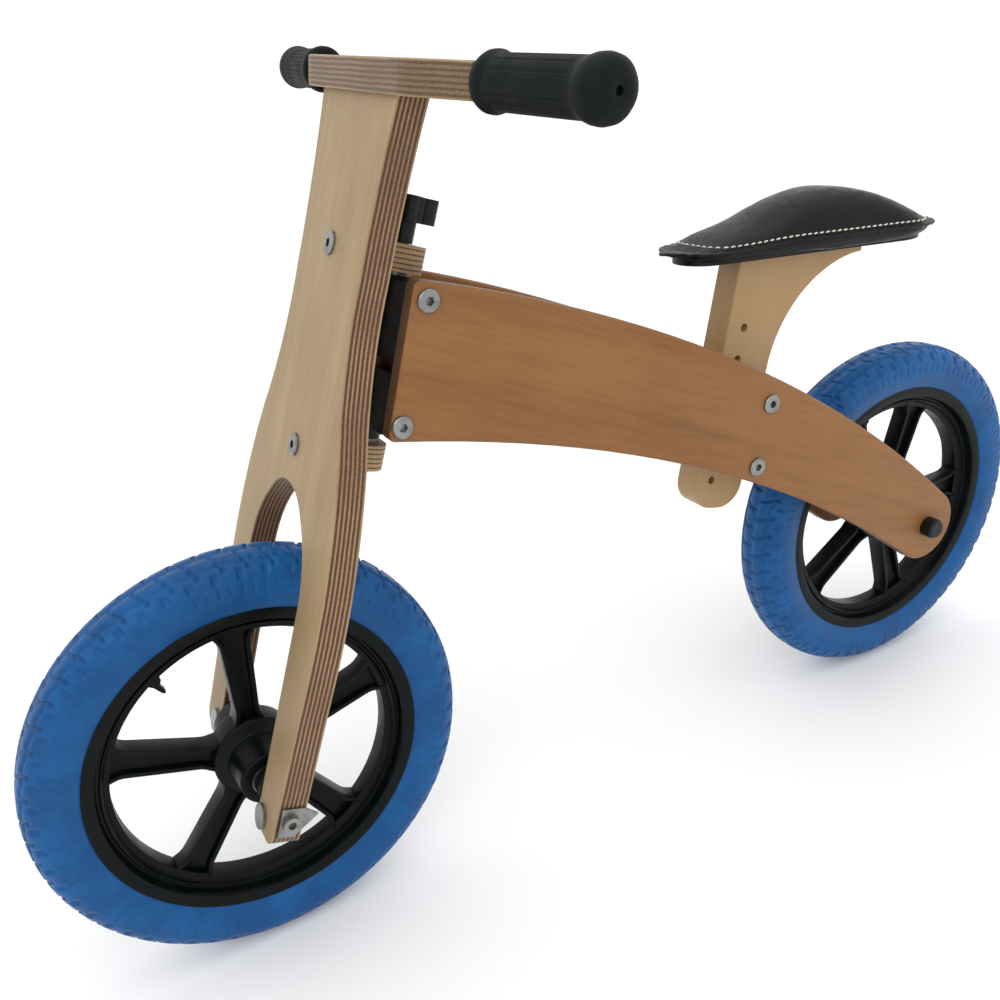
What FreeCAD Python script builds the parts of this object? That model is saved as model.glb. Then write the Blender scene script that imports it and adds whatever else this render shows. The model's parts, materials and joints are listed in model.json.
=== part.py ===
"""Wooden balance bike for a small child, as a parametric FreeCAD document.

Frame: +X is forward, +Y is the rider's left, +Z is up, in millimetres.
The origin lies on the ground, midway between the two axles.

The fork and the steering head are drawn in the fork's own frame, whose origin is the
front axle: x points forward out of the fork plate, y to the left, z up the steering axis.
The saddle and the seat post have frames of their own too, set down by a Placement.
"""
import FreeCAD, Part

import math
import os

import Sketcher

Vector = FreeCAD.Vector
Rotation = FreeCAD.Rotation
Placement = FreeCAD.Placement

# ---------------------------------------------------------------- driving sizes

SIZES = {
    # wheels
    "wheel_base": 592,
    "wheel_radius": 150,
    "tyre_half_width": 20.5,
    "tyre_crown_rise": 14,
    "tyre_bead_half_width": 17.5,
    "rim_radius": 114,
    "rim_half_width": 15.5,
    "rim_lip": 9,
    "rim_ledge_radius": 95,
    "rim_ledge_half_width": 6.5,
    "spoke_count": 5,
    "spoke_hub_width": 15,
    "spoke_rim_width": 22,
    "spoke_thick": 14,
    "spoke_wall": 3.2,
    "spoke_web": 4,
    "front_spoke_phase": 20,
    "rear_spoke_phase": 38,
    "hub_radius": 18,
    "hub_half_length": 36,
    "hub_flange_radius": 29,
    "hub_flange_half_width": 8,
    "hub_bore": 6.5,
    "stub_length": 13,
    "stub_width": 3,
    "bearing_radius": 11,
    "bearing_width": 7,
    "axle_radius": 4,
    "running_clearance": 0.05,
    "seat_clearance": 0.3,
    "spacer_radius": 10,
    # steering
    "steer_tilt": 20.5,
    "steer_setback": 35,
    "pin_radius": 5,
    "pin_head_radius": 9,
    "pin_head_height": 5,
    # fork plate
    "fork_thick": 18,
    "fork_top": 428,
    "fork_foot": 20,
    "foot_outer": 78.5,
    "foot_inner": 49,
    "foot_corner": 9,
    "leg_outer": 84.8,
    "leg_bend": 90,
    "shoulder_half": 70,
    "shoulder_at": 225,
    "shoulder_bow": 330,
    "waist_half": 51.2,
    "waist_at": 325,
    "waist_bow": 235,
    "crown_half": 60.5,
    "crown_bow": 560,
    "arch_half": 51,
    "arch_spring": 122,
    "arch_haunch_half": 30,
    "arch_haunch_at": 178,
    "arch_haunch_bow": 70,
    "arch_top_bow": 38,
    "edge_round": 1.5,
    # blocks on the back of the fork
    "block_half": 20,
    "block_thick": 16.5,
    "block_reach": 40,
    "block_corner": 15,
    "upper_block_at": 340.5,
    "lower_block_at": 216.5,
    # side plates
    "plate_thick": 12,
    "plate_outer": 52,
    "plate_top": 331.5,
    "plate_bottom": 235.5,
    "plate_top_gap": 15,
    "plate_bottom_gap": 19,
    "plate_corner": 5,
    "plate_tail_radius": 31,
    "plate_tail_top_turn": 41,
    "plate_tail_low_turn": 38,
    "plate_top_bow": 1200,
    "plate_low_bow": 1120,
    "plate_round": 2,
    # steering head between the plates
    "housing_radius": 11,
    "housing_wing_front": 7,
    "housing_wing_thick": 18,
    "housing_wing_low": 237.5,
    "housing_wing_high": 327.5,
    "head_ring_radius": 12.5,
    "head_ring_at": 277.5,
    "head_ring_height": 6.4,
    "head_gap": 0.3,
    "thrust_washer": 2.4,
    "upper_screw_at": 321,
    "lower_screw_at": 246,
    # flat-headed furniture screws
    "screw_head_radius": 7,
    "screw_head_height": 2.2,
    "screw_radius": 3,
    "screw_socket": 2.9,
    "screw_socket_depth": 3.2,
    "screw_bevel": 0.7,
    "head_screw_length": 24,
    "block_screw_length": 28,
    "insert_radius": 4.5,
    "insert_length": 14,
    "sleeve_radius": 4.2,
    "seat_bolt_length": 90,
    # knob on top of the steering pin
    "knob_core_radius": 13.5,
    "knob_lobe_radius": 6,
    "knob_lobe_circle": 12.5,
    "knob_lobes": 5,
    "knob_height": 15,
    "knob_stem_radius": 7.5,
    "knob_stem_height": 13,
    "knob_insert_radius": 6.2,
    "knob_insert_length": 18,
    "pin_thread": 16,
    # handlebar
    "bar_thick": 18,
    "bar_tilt": 8,
    "bar_roll": 4.3,
    "bar_front": 14.5,
    "bar_back": 25.5,
    "bar_flat_half": 70,
    "bar_neck_half": 112,
    "bar_neck_front": 2.5,
    "bar_neck_back": 21.5,
    "bar_bend": 36,
    "bar_spigot_root": 4,
    "bar_sweep": 6.3,
    "bar_screw_half": 34,
    "bar_screw_radius": 2.5,
    "bar_screw_head": 5,
    "bar_screw_length": 42,
    # grips
    "grip_standoff": 1,
    "grip_length": 89,
    "grip_radius": 13,
    "grip_collar_radius": 14.6,
    "grip_collar_width": 7,
    "grip_end_radius": 14.6,
    "grip_end_width": 11,
    "grip_end_cap": 4,
    "grip_end_hole": 2,
    # feet of the fork
    "tab_thick": 1.6,
    "tab_height": 20,
    "tab_front": 7,
    "tab_point": 17,
    "axle_screw_radius": 5.5,
    "axle_screw_height": 3,
    "axle_screw_length": 22,
    "foot_bolt_drop": 11,
    "foot_bolt_out": 57.5,
    "foot_bolt_radius": 2.5,
    "foot_bolt_head": 8,
    "foot_bolt_head_height": 2.4,
    "foot_nut_radius": 5,
    "foot_nut_height": 4,
    # rear axle
    "rear_nut_radius": 6.5,
    "rear_nut_height": 5,
    "cap_radius": 8.6,
    "cap_height": 10,
    "cap_wall": 1.4,
    "cap_bevel": 1.6,
    "rear_axle_end": 58.5,
    # seat post
    "post_tilt": 14.6,
    "post_from_axle": 237.8,
    "post_above_middle": 20.7,
    "post_thick": 22,
    "post_front": 14.5,
    "post_back": 33,
    "post_drop": 96,
    "post_foot_round": 20,
    "post_pitch": 24,
    "post_holes": 6,
    "post_top_hole": 48,
    "post_hole_radius": 3.2,
    "post_flare_low": 20,
    "post_flare_bow": 95,
    "clamp_margin": 13,
    # saddle
    "saddle_behind": 68,
    "saddle_rise": 95,
    "saddle_tilt": 3.5,
    "saddle_arm_front": 60,
    "saddle_arm_back": 62,
    "saddle_arm_edge": 9,
    "saddle_board_thick": 5,
    "saddle_board_inset": 9,
    "saddle_nose_x": 117,
    "saddle_tail_x": 124,
    "saddle_nose_radius": 29,
    "saddle_tail_radius": 47,
    "saddle_crown_x": -24,
    "saddle_crown_height": 39.5,
    "saddle_edge_height": 5,
    "wood_screw_radius": 2,
    "wood_screw_head": 4.2,
    "wood_screw_head_height": 2,
    "wood_screw_length": 21,
    "wood_screw_front": 40,
    "wood_screw_back": -20,
}

doc = FreeCAD.newDocument("balance_bike")

dims = doc.addObject("Spreadsheet::Sheet", "Dims")
for row, (alias, number) in enumerate(SIZES.items(), start=1):
    dims.set("A%d" % row, alias)
    dims.set("B%d" % row, str(number))
    dims.setAlias("B%d" % row, alias)
doc.recompute()


def size(alias):
    """A driving size, read back from the sheet."""
    return float(dims.get(alias))


# ------------------------------------------------------- places that follow the sizes

layout = doc.addObject("Spreadsheet::Sheet", "Layout")
layout_rows = [0]


def derive(alias, formula):
    """Add a named formula on the driving sizes to the Layout sheet."""
    layout_rows[0] += 1
    row = layout_rows[0]
    layout.set("A%d" % row, alias)
    layout.set("B%d" % row, "=" + formula)
    layout.setAlias("B%d" % row, alias)


def derive_point(name, first, second):
    """Name a sketch point by the formulas of its two coordinates."""
    derive(name + "_u", first)
    derive(name + "_v", second)


def head_point(name, along, behind):
    """Name a point of the frame's mid-plane by its place in the fork's frame."""
    derive_point(
        name,
        "Dims.wheel_base / 2 - (%s) * sin(Dims.steer_tilt) - (%s) * cos(Dims.steer_tilt)"
        % (along, behind),
        "Dims.wheel_radius + (%s) * cos(Dims.steer_tilt) - (%s) * sin(Dims.steer_tilt)"
        % (along, behind))


# side plate, in the XZ plane
head_point("plate_high", "Dims.plate_top", "Dims.fork_thick / 2 + Dims.plate_top_gap")
head_point("plate_low", "Dims.plate_bottom", "Dims.fork_thick / 2 + Dims.plate_bottom_gap")
head_point("screw_high", "Dims.upper_screw_at", "Dims.steer_setback")
head_point("screw_low", "Dims.lower_screw_at", "Dims.steer_setback")
derive_point("tail_centre", "-Dims.wheel_base / 2", "Dims.wheel_radius")
derive_point("tail_high",
             "-Dims.wheel_base / 2 - Dims.plate_tail_radius * sin(Dims.plate_tail_top_turn)",
             "Dims.wheel_radius + Dims.plate_tail_radius * cos(Dims.plate_tail_top_turn)")
derive_point("tail_low",
             "-Dims.wheel_base / 2 + Dims.plate_tail_radius * sin(Dims.plate_tail_low_turn)",
             "Dims.wheel_radius - Dims.plate_tail_radius * cos(Dims.plate_tail_low_turn)")

# the seat post stands on the plates' bowed middle line, measured from the rear axle
derive_point("head_middle", "(plate_high_u + plate_low_u) / 2", "(plate_high_v + plate_low_v) / 2")
derive_point("chord", "head_middle_u - tail_centre_u", "head_middle_v - tail_centre_v")
derive("chord_length", "sqrt(chord_u ^ 2 + chord_v ^ 2)")
derive("plate_bow", "(Dims.plate_top_bow + Dims.plate_low_bow) / 2")
derive("post_rise", "Dims.post_from_axle * (chord_length - Dims.post_from_axle)"
       " / (2 * plate_bow) + Dims.post_above_middle")
derive("post_x", "tail_centre_u"
       " + (Dims.post_from_axle * chord_u - post_rise * chord_v) / chord_length")
derive("post_z", "tail_centre_v"
       " + (Dims.post_from_axle * chord_v + post_rise * chord_u) / chord_length")
derive("saddle_x", "post_x - Dims.saddle_behind")
derive("saddle_z", "post_z + Dims.saddle_rise")
derive_point("seat_bolt_high", "post_x", "post_z")
derive_point("seat_bolt_low", "post_x + 2 * Dims.post_pitch * sin(Dims.post_tilt)",
             "post_z - 2 * Dims.post_pitch * cos(Dims.post_tilt)")
derive("plate_inner", "Dims.plate_outer - Dims.plate_thick")

# fork plate, in the fork's YZ plane
for side, sign in (("left", ""), ("right", "-")):
    derive_point("toe_out_" + side, sign + "Dims.foot_outer", "-Dims.fork_foot")
    derive_point("leg_" + side, sign + "Dims.leg_outer", "Dims.leg_bend")
    derive_point("shoulder_" + side, sign + "Dims.shoulder_half", "Dims.shoulder_at")
    derive_point("waist_" + side, sign + "Dims.waist_half", "Dims.waist_at")
    derive_point("crown_" + side, sign + "Dims.crown_half", "Dims.fork_top + Dims.fork_thick")
    derive_point("toe_in_" + side, sign + "Dims.foot_inner", "-Dims.fork_foot")
    derive_point("spring_" + side, sign + "Dims.arch_half", "Dims.arch_spring")
    derive_point("haunch_" + side, sign + "Dims.arch_haunch_half", "Dims.arch_haunch_at")

# handlebar board, seen from above, x forward and y left
for side, sign in (("left", ""), ("right", "-")):
    derive_point("bar_flat_" + side, "Dims.bar_front", sign + "Dims.bar_flat_half")
    derive_point("bar_neck_" + side, "-Dims.bar_neck_front", sign + "Dims.bar_neck_half")
    derive_point("bar_heel_" + side, "-Dims.bar_neck_back", sign + "Dims.bar_neck_half")
    derive_point("bar_rear_" + side, "-Dims.bar_back", sign + "Dims.bar_flat_half")

# seat post, in its own XZ plane, z up the row of holes
def post_point(name, x_formula, z_formula):
    """Name a point of the seat post by its place in the saddle's frame."""
    turned_x = "((%s) * cos(Dims.saddle_tilt) - (%s) * sin(Dims.saddle_tilt)" \
               " - Dims.saddle_behind)" % (x_formula, z_formula)
    turned_z = "((%s) * sin(Dims.saddle_tilt) + (%s) * cos(Dims.saddle_tilt)" \
               " + Dims.saddle_rise)" % (x_formula, z_formula)
    derive_point(name,
                 turned_x + " * cos(Dims.post_tilt) + " + turned_z + " * sin(Dims.post_tilt)",
                 turned_z + " * cos(Dims.post_tilt) - " + turned_x + " * sin(Dims.post_tilt)")


post_point("arm_front", "Dims.saddle_arm_front", "0")
post_point("arm_back", "-Dims.saddle_arm_back", "0")
post_point("arm_tip", "-Dims.saddle_arm_back", "-Dims.saddle_arm_edge")
derive_point("post_front_foot", "Dims.post_front", "-Dims.post_drop")
derive_point("post_back_foot", "-Dims.post_back", "-Dims.post_drop")
derive_point("post_flare", "-Dims.post_back", "Dims.post_flare_low")

# steering head stack, along the steering axis
derive("upper_block_low", "Dims.upper_block_at - Dims.block_thick / 2")
derive("lower_block_high", "Dims.lower_block_at + Dims.block_thick / 2")
derive("housing_low", "lower_block_high + Dims.thrust_washer + Dims.head_gap")
derive("housing_high", "upper_block_low - Dims.thrust_washer - Dims.head_gap")
derive("ring_low", "Dims.head_ring_at - Dims.head_ring_height / 2")
derive("ring_high", "Dims.head_ring_at + Dims.head_ring_height / 2")
derive("pin_low", "Dims.lower_block_at - Dims.block_thick / 2")
derive("knob_low", "Dims.upper_block_at + Dims.block_thick / 2 + Dims.head_gap")
derive("pin_length", "knob_low + Dims.pin_thread - pin_low")

# ends of the front axle, on the slanted outer sides of the fork's feet
derive("foot_slope", "(Dims.leg_outer - Dims.foot_outer) / (Dims.fork_foot + Dims.leg_bend)")
derive("foot_face", "Dims.foot_outer + (Dims.fork_foot + Dims.tab_height / 2) * foot_slope")

# tyre section: u from the axle, v along it
derive("tyre_crown_bow", "(Dims.tyre_half_width ^ 2 + Dims.tyre_crown_rise ^ 2)"
       " / (2 * Dims.tyre_crown_rise)")
for side, sign in (("left", ""), ("right", "-")):
    derive_point("tyre_bead_" + side, "Dims.rim_radius", sign + "Dims.tyre_bead_half_width")
    derive_point("tyre_side_" + side, "Dims.wheel_radius - Dims.tyre_crown_rise",
                 sign + "Dims.tyre_half_width")

# saddle board: the outline round two circles, inset from the cushion's edge
derive("board_nose", "Dims.saddle_nose_radius - Dims.saddle_board_inset")
derive("board_tail", "Dims.saddle_tail_radius - Dims.saddle_board_inset")
derive("nose_centre", "Dims.saddle_nose_x - Dims.saddle_nose_radius")
derive("tail_middle", "Dims.saddle_tail_radius - Dims.saddle_tail_x")
derive("board_lean", "asin((board_tail - board_nose) / (nose_centre - tail_middle))")
for side, sign in (("left", ""), ("right", "-")):
    derive_point("board_nose_" + side, "nose_centre + board_nose * sin(board_lean)",
                 sign + "board_nose * cos(board_lean)")
    derive_point("board_tail_" + side, "tail_middle + board_tail * sin(board_lean)",
                 sign + "board_tail * cos(board_lean)")
derive_point("board_tail_end", "tail_middle - board_tail", "0")
doc.recompute()


def place_of(alias):
    """A derived size or place, read back from the sheet."""
    return float(layout.get(alias))


def measure(name):
    """The value of Dims.alias or Layout.alias."""
    sheet, alias = name.split(".")
    return size(alias) if sheet == "Dims" else place_of(alias)


def point_of(name):
    """A named sketch point as a vector."""
    return Vector(place_of(name + "_u"), place_of(name + "_v"), 0)


# ------------------------------------------------------------------- drawing helpers

ALONG_Y = Rotation(Vector(1, 0, 0), -90)
AGAINST_Y = Rotation(Vector(1, 0, 0), 90)
ALONG_X = Rotation(Vector(0, 1, 0), 90)
AGAINST_X = Rotation(Vector(0, 1, 0), -90)
UPRIGHT = Rotation()

FORK = Placement(Vector(size("wheel_base") / 2, 0, size("wheel_radius")),
                 Rotation(Vector(0, 1, 0), -size("steer_tilt")))
POST = Placement(Vector(place_of("post_x"), 0, place_of("post_z")),
                 Rotation(Vector(0, 1, 0), -size("post_tilt")))
SADDLE = Placement(Vector(place_of("saddle_x"), 0, place_of("saddle_z")),
                   Rotation(Vector(0, 1, 0), -size("saddle_tilt")))
BAR = FORK * Placement(Vector(0, 0, size("fork_top")),
                       Rotation(Vector(0, 1, 0), size("steer_tilt") - size("bar_tilt"))
                       * Rotation(Vector(1, 0, 0), -size("bar_roll")))
WORLD = Placement()
SIDES = (("left", 1), ("right", -1))


def at(frame, x, y, z, turn=UPRIGHT):
    """The placement of a piece at a point of a frame."""
    return frame * Placement(Vector(x, y, z), turn)


def bind(thing, **formulas):
    """Tie properties of an object to formulas on the sheets."""
    for name, formula in formulas.items():
        thing.setExpression(name, formula)


def solid(kind, place, label="", **formulas):
    """A Part primitive, its sizes tied to the sheets."""
    thing = doc.addObject("Part::" + kind, label or kind)
    bind(thing, **formulas)
    thing.Placement = place
    return thing


def cylinder(place, radius, height, label=""):
    """A cylinder that starts at its placement and runs up its own z."""
    return solid("Cylinder", place, label, Radius=radius, Height=height)


def fuse(label, *pieces):
    """One solid made of several."""
    thing = doc.addObject("Part::MultiFuse", label)
    thing.Shapes = list(pieces)
    thing.Refine = True
    return thing


def cut(label, base, *tools):
    """A solid with tools taken out of it."""
    tool = tools[0] if len(tools) == 1 else fuse(label + "_tools", *tools)
    thing = doc.addObject("Part::Cut", label)
    thing.Base = base
    thing.Tool = tool
    return thing


def group(label, pieces):
    """Separate solids that share one node."""
    thing = doc.addObject("Part::Compound", label)
    thing.Links = list(pieces)
    return thing


def new_body(label, place=WORLD):
    """An empty body set down by its placement."""
    body = doc.addObject("PartDesign::Body", label)
    body.Placement = place
    return body


def sketch_on(body, role):
    """A sketch on one of the body's own origin planes."""
    sketch = body.newObject("Sketcher::SketchObject", body.Name + "_" + role)
    sketch.AttachmentSupport = ([item for item in body.Origin.OriginFeatures
                                 if item.Role == role][0], [""])
    sketch.MapMode = "FlatFace"
    return sketch


def pin(sketch, element, end, formula_u, formula_v):
    """Fix a point of a sketch by formulas of its two coordinates."""
    point = sketch.getPoint(element, end)
    for kind, value, formula in (("DistanceX", point.x, formula_u),
                                 ("DistanceY", point.y, formula_v)):
        index = sketch.addConstraint(Sketcher.Constraint(kind, -1, 1, element, end, value))
        sketch.setExpression("Constraints[%d]" % index, formula)


def arc_between(start, end, radius, turn):
    """A circle's arc from start to end: turn 1 is anticlockwise, -1 is clockwise."""
    chord = end - start
    side = Vector(-chord.y, chord.x, 0).normalize()
    rise = math.sqrt(radius ** 2 - (chord.Length / 2) ** 2)
    centre = (start + end) * 0.5 + side * (turn * rise)
    first, last = (start, end) if turn > 0 else (end, start)
    angles = [math.atan2(spot.y - centre.y, spot.x - centre.x) for spot in (first, last)]
    circle = Part.Circle(centre, Vector(0, 0, 1), radius)
    return Part.ArcOfCircle(circle, angles[0], angles[1])


def draw_loop(sketch, steps):
    """Draw a closed outline.

    Each step is (point name, "line") or (point name, "arc", radius formula, turn), and runs
    from its own point to the point of the next step.
    """
    ends = []
    for step, following in zip(steps, steps[1:] + steps[:1]):
        start = point_of(step[0])
        end = point_of(following[0])
        if step[1] == "line":
            element = sketch.addGeometry(Part.LineSegment(start, end), False)
            ends.append((element, 1, 2))
        else:
            turn = step[3]
            radius = measure(step[2])
            element = sketch.addGeometry(arc_between(start, end, radius, turn), False)
            ends.append((element, 1, 2) if turn > 0 else (element, 2, 1))
            index = sketch.addConstraint(Sketcher.Constraint("Radius", element, radius))
            sketch.setExpression("Constraints[%d]" % index, step[2])
    for step, (element, first, _), (before, _, last) in zip(steps, ends, ends[-1:] + ends[:-1]):
        sketch.addConstraint(Sketcher.Constraint("Coincident", before, last, element, first))
        pin(sketch, element, first, "Layout.%s_u" % step[0], "Layout.%s_v" % step[0])


def draw_hole(sketch, name, radius):
    """Draw a circle about a named point."""
    circle = Part.Circle(point_of(name), Vector(0, 0, 1), measure(radius))
    element = sketch.addGeometry(circle, False)
    index = sketch.addConstraint(Sketcher.Constraint("Radius", element, measure(radius)))
    sketch.setExpression("Constraints[%d]" % index, radius)
    pin(sketch, element, 3, "Layout.%s_u" % name, "Layout.%s_v" % name)


def draw_polygon(sketch, corners):
    """Draw a closed polygon whose corners are pairs of formulas, worked out by the solver."""
    count = len(corners)
    for index, (formula_u, formula_v) in enumerate(corners):
        derive_point("%s_%d" % (sketch.Name, index), formula_u, formula_v)
    doc.recompute()
    draw_loop(sketch, [("%s_%d" % (sketch.Name, index), "line") for index in range(count)])


def pad(body, sketch, length, symmetric=False):
    """Raise a sketch to a thickness."""
    feature = body.newObject("PartDesign::Pad", body.Name + "_pad")
    feature.Profile = sketch
    feature.SideType = "Symmetric" if symmetric else "One side"
    bind(feature, Length=length)
    body.Tip = feature
    return feature


def revolve(body, sketch):
    """Turn a sketch about its own vertical axis."""
    feature = body.newObject("PartDesign::Revolution", body.Name + "_turned")
    feature.Profile = sketch
    feature.ReferenceAxis = (sketch, ["V_Axis"])
    feature.Angle = 360
    body.Tip = feature
    return feature


def round_edges(body, radius, wanted):
    """Round the edges of the body's last feature that the test picks out."""
    doc.recompute()
    base = body.Tip
    names = ["Edge%d" % (index + 1) for index, edge in enumerate(base.Shape.Edges)
             if wanted(edge)]
    feature = body.newObject("PartDesign::Fillet", body.Name + "_round")
    feature.Base = (base, names)
    bind(feature, Radius=radius)
    body.Tip = feature
    return feature


def is_flat_at(edge, axis, level):
    """True for an edge that lies whole in the plane axis = level, in the body's frame."""
    box = edge.BoundBox
    low, high = {"x": (box.XMin, box.XMax), "y": (box.YMin, box.YMax),
                 "z": (box.ZMin, box.ZMax)}[axis]
    return abs(low - level) < 0.01 and abs(high - level) < 0.01


def is_circle(edge):
    """True for a full circle, such as the rim of a hole."""
    return len(edge.Vertexes) == 1


def turned(label, place, corners):
    """A body turned about its own y: corners are (distance from the axis, place along it)."""
    body = new_body(label, place)
    sketch = sketch_on(body, "XY_Plane")
    draw_polygon(sketch, corners)
    revolve(body, sketch)
    return body


def ring(label, place, outer, inner, height):
    """A washer, bush or sleeve that starts at its placement and runs up its own z."""
    return cut(label, cylinder(place, outer, height), cylinder(place, inner, height))


def flat_screw(place, length, label="screw"):
    """A flat-headed furniture screw: head up its own z from the seat, shank down."""
    rim = cylinder(place, "Dims.screw_head_radius", "Dims.screw_head_height - Dims.screw_bevel")
    top = solid("Cone", at(place, 0, 0, size("screw_head_height") - size("screw_bevel")),
                Radius1="Dims.screw_head_radius",
                Radius2="Dims.screw_head_radius - Dims.screw_bevel",
                Height="Dims.screw_bevel")
    shank = cylinder(at(place, 0, 0, 0, Rotation(Vector(1, 0, 0), 180)),
                     "Dims.screw_radius", length)
    return cut(label, fuse(label + "_blank", rim, top, shank), socket_in(place))


def socket_in(place):
    """The hexagonal socket of a flat screw head."""
    depth = size("screw_head_height") - size("screw_socket_depth")
    socket = solid("Prism", at(place, 0, 0, depth), Circumradius="Dims.screw_socket",
                   Height="Dims.screw_socket_depth")
    socket.Polygon = 6
    return socket


def plain_screw(place, radius, head, head_height, length, label="wood_screw"):
    """A screw whose head lies flush: head top at the placement, all of it down -z."""
    down = at(place, 0, 0, 0, Rotation(Vector(1, 0, 0), 180))
    return fuse(label, cylinder(down, radius, length), cylinder(down, head, head_height))


# --------------------------------------------------------------------------- wheels

def tyre(label, centre):
    """A solid foam tyre with a rounded crown."""
    body = new_body(label, centre)
    sketch = sketch_on(body, "XY_Plane")
    draw_loop(sketch, [("tyre_bead_right", "line"),
                       ("tyre_side_right", "arc", "Layout.tyre_crown_bow", 1),
                       ("tyre_side_left", "line"),
                       ("tyre_bead_left", "line")])
    revolve(body, sketch)
    return body


def wheel_hub(body):
    """The hub barrel with its flange and a seat for a bearing at each end."""
    half = []
    for sign in ("-", ""):
        step = [("Dims.hub_bore", sign + "(Dims.hub_half_length - Dims.bearing_width)"),
                ("Dims.bearing_radius", sign + "(Dims.hub_half_length - Dims.bearing_width)"),
                ("Dims.bearing_radius", sign + "Dims.hub_half_length"),
                ("Dims.hub_radius", sign + "Dims.hub_half_length"),
                ("Dims.hub_radius", sign + "Dims.hub_flange_half_width"),
                ("Dims.hub_flange_radius", sign + "Dims.hub_flange_half_width")]
        half.append(step if sign else step[::-1])
    sketch = sketch_on(body, "XY_Plane")
    draw_polygon(sketch, half[0] + half[1])
    revolve(body, sketch)


def wheel_spokes(body):
    """Channel-shaped spokes: a thin web with a wall along each side."""
    root = "(Dims.hub_flange_radius - Dims.spoke_wall)"
    tip = "(Dims.rim_ledge_radius + Dims.spoke_wall)"
    wide_root = "Dims.spoke_hub_width / 2"
    wide_tip = "Dims.spoke_rim_width / 2"
    web_sketch = sketch_on(body, "XZ_Plane")
    draw_polygon(web_sketch, [(root, "-" + wide_root), (tip, "-" + wide_tip),
                              (tip, wide_tip), (root, wide_root)])
    web = pad(body, web_sketch, "Dims.spoke_web", symmetric=True)
    features = [web]
    for sign in ("", "-"):
        wall_sketch = sketch_on(body, "XZ_Plane")
        draw_polygon(wall_sketch, [
            (root, "%s(%s - Dims.spoke_wall)" % (sign, wide_root)),
            (tip, "%s(%s - Dims.spoke_wall)" % (sign, wide_tip)),
            (tip, sign + wide_tip),
            (root, sign + wide_root)])
        features.append(pad(body, wall_sketch, "Dims.spoke_thick", symmetric=True))
    pattern = body.newObject("PartDesign::PolarPattern", body.Name + "_spokes")
    pattern.Originals = features
    pattern.Axis = ([item for item in body.Origin.OriginFeatures
                     if item.Role == "Y_Axis"][0], [""])
    pattern.Angle = 360
    bind(pattern, Occurrences="Dims.spoke_count")
    body.Tip = pattern


def wheel_ring(body):
    """The rim band that carries the tyre, with a lower ledge inside it."""
    inner = "Dims.rim_radius - Dims.rim_lip"
    sketch = sketch_on(body, "XY_Plane")
    draw_polygon(sketch, [("Dims.rim_ledge_radius", "-Dims.rim_ledge_half_width"),
                          (inner, "-Dims.rim_ledge_half_width"),
                          (inner + " + Dims.screw_bevel", "-Dims.rim_half_width"),
                          ("Dims.rim_radius", "-Dims.rim_half_width"),
                          ("Dims.rim_radius", "Dims.rim_half_width"),
                          (inner + " + Dims.screw_bevel", "Dims.rim_half_width"),
                          (inner, "Dims.rim_ledge_half_width"),
                          ("Dims.rim_ledge_radius", "Dims.rim_ledge_half_width")])
    revolve(body, sketch)


def wheel_stub(body):
    """The moulded stub that points inward between two spokes, where a valve would be."""
    turn = "(180 / Dims.spoke_count)"
    near = "(Dims.rim_ledge_radius - Dims.stub_length)"
    far = "(Dims.rim_ledge_radius + Dims.spoke_wall)"
    corners = []
    for reach, side in ((near, "-"), (far, "-"), (far, ""), (near, "")):
        across = "(%sDims.stub_width / 2)" % side
        corners.append(("%s * cos(%s) - %s * sin(%s)" % (reach, turn, across, turn),
                        "%s * sin(%s) + %s * cos(%s)" % (reach, turn, across, turn)))
    sketch = sketch_on(body, "XZ_Plane")
    draw_polygon(sketch, corners)
    pad(body, sketch, "Dims.stub_width", symmetric=True)


def rim(label, centre):
    """A one-piece moulded wheel: hub, spokes and rim."""
    body = new_body(label, centre)
    body.AllowCompound = True
    wheel_hub(body)
    wheel_spokes(body)
    wheel_ring(body)
    wheel_stub(body)
    return body


def both_sides(label, build):
    """The left and the right copy of a piece, as one node."""
    return group(label, [build(side, sign) for side, sign in SIDES])


def wheel(end, centre, phase):
    """A wheel with its tyre and its two hub bearings."""
    turned_centre = centre * Placement(Vector(), Rotation(Vector(0, 1, 0), -phase))

    def bearing(side, sign):
        turn = ALONG_Y if sign > 0 else AGAINST_Y
        start = sign * (size("hub_half_length") - size("bearing_width"))
        return ring("%s_bearing_%s" % (end, side), at(centre, 0, start, 0, turn),
                    "Dims.bearing_radius", "Dims.axle_radius + Dims.running_clearance",
                    "Dims.bearing_width")

    return [tyre(end + "_tyre", centre), rim(end + "_rim", turned_centre),
            both_sides(end + "_hub_bearings", bearing)]


# ----------------------------------------------------------------------------- frame

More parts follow.
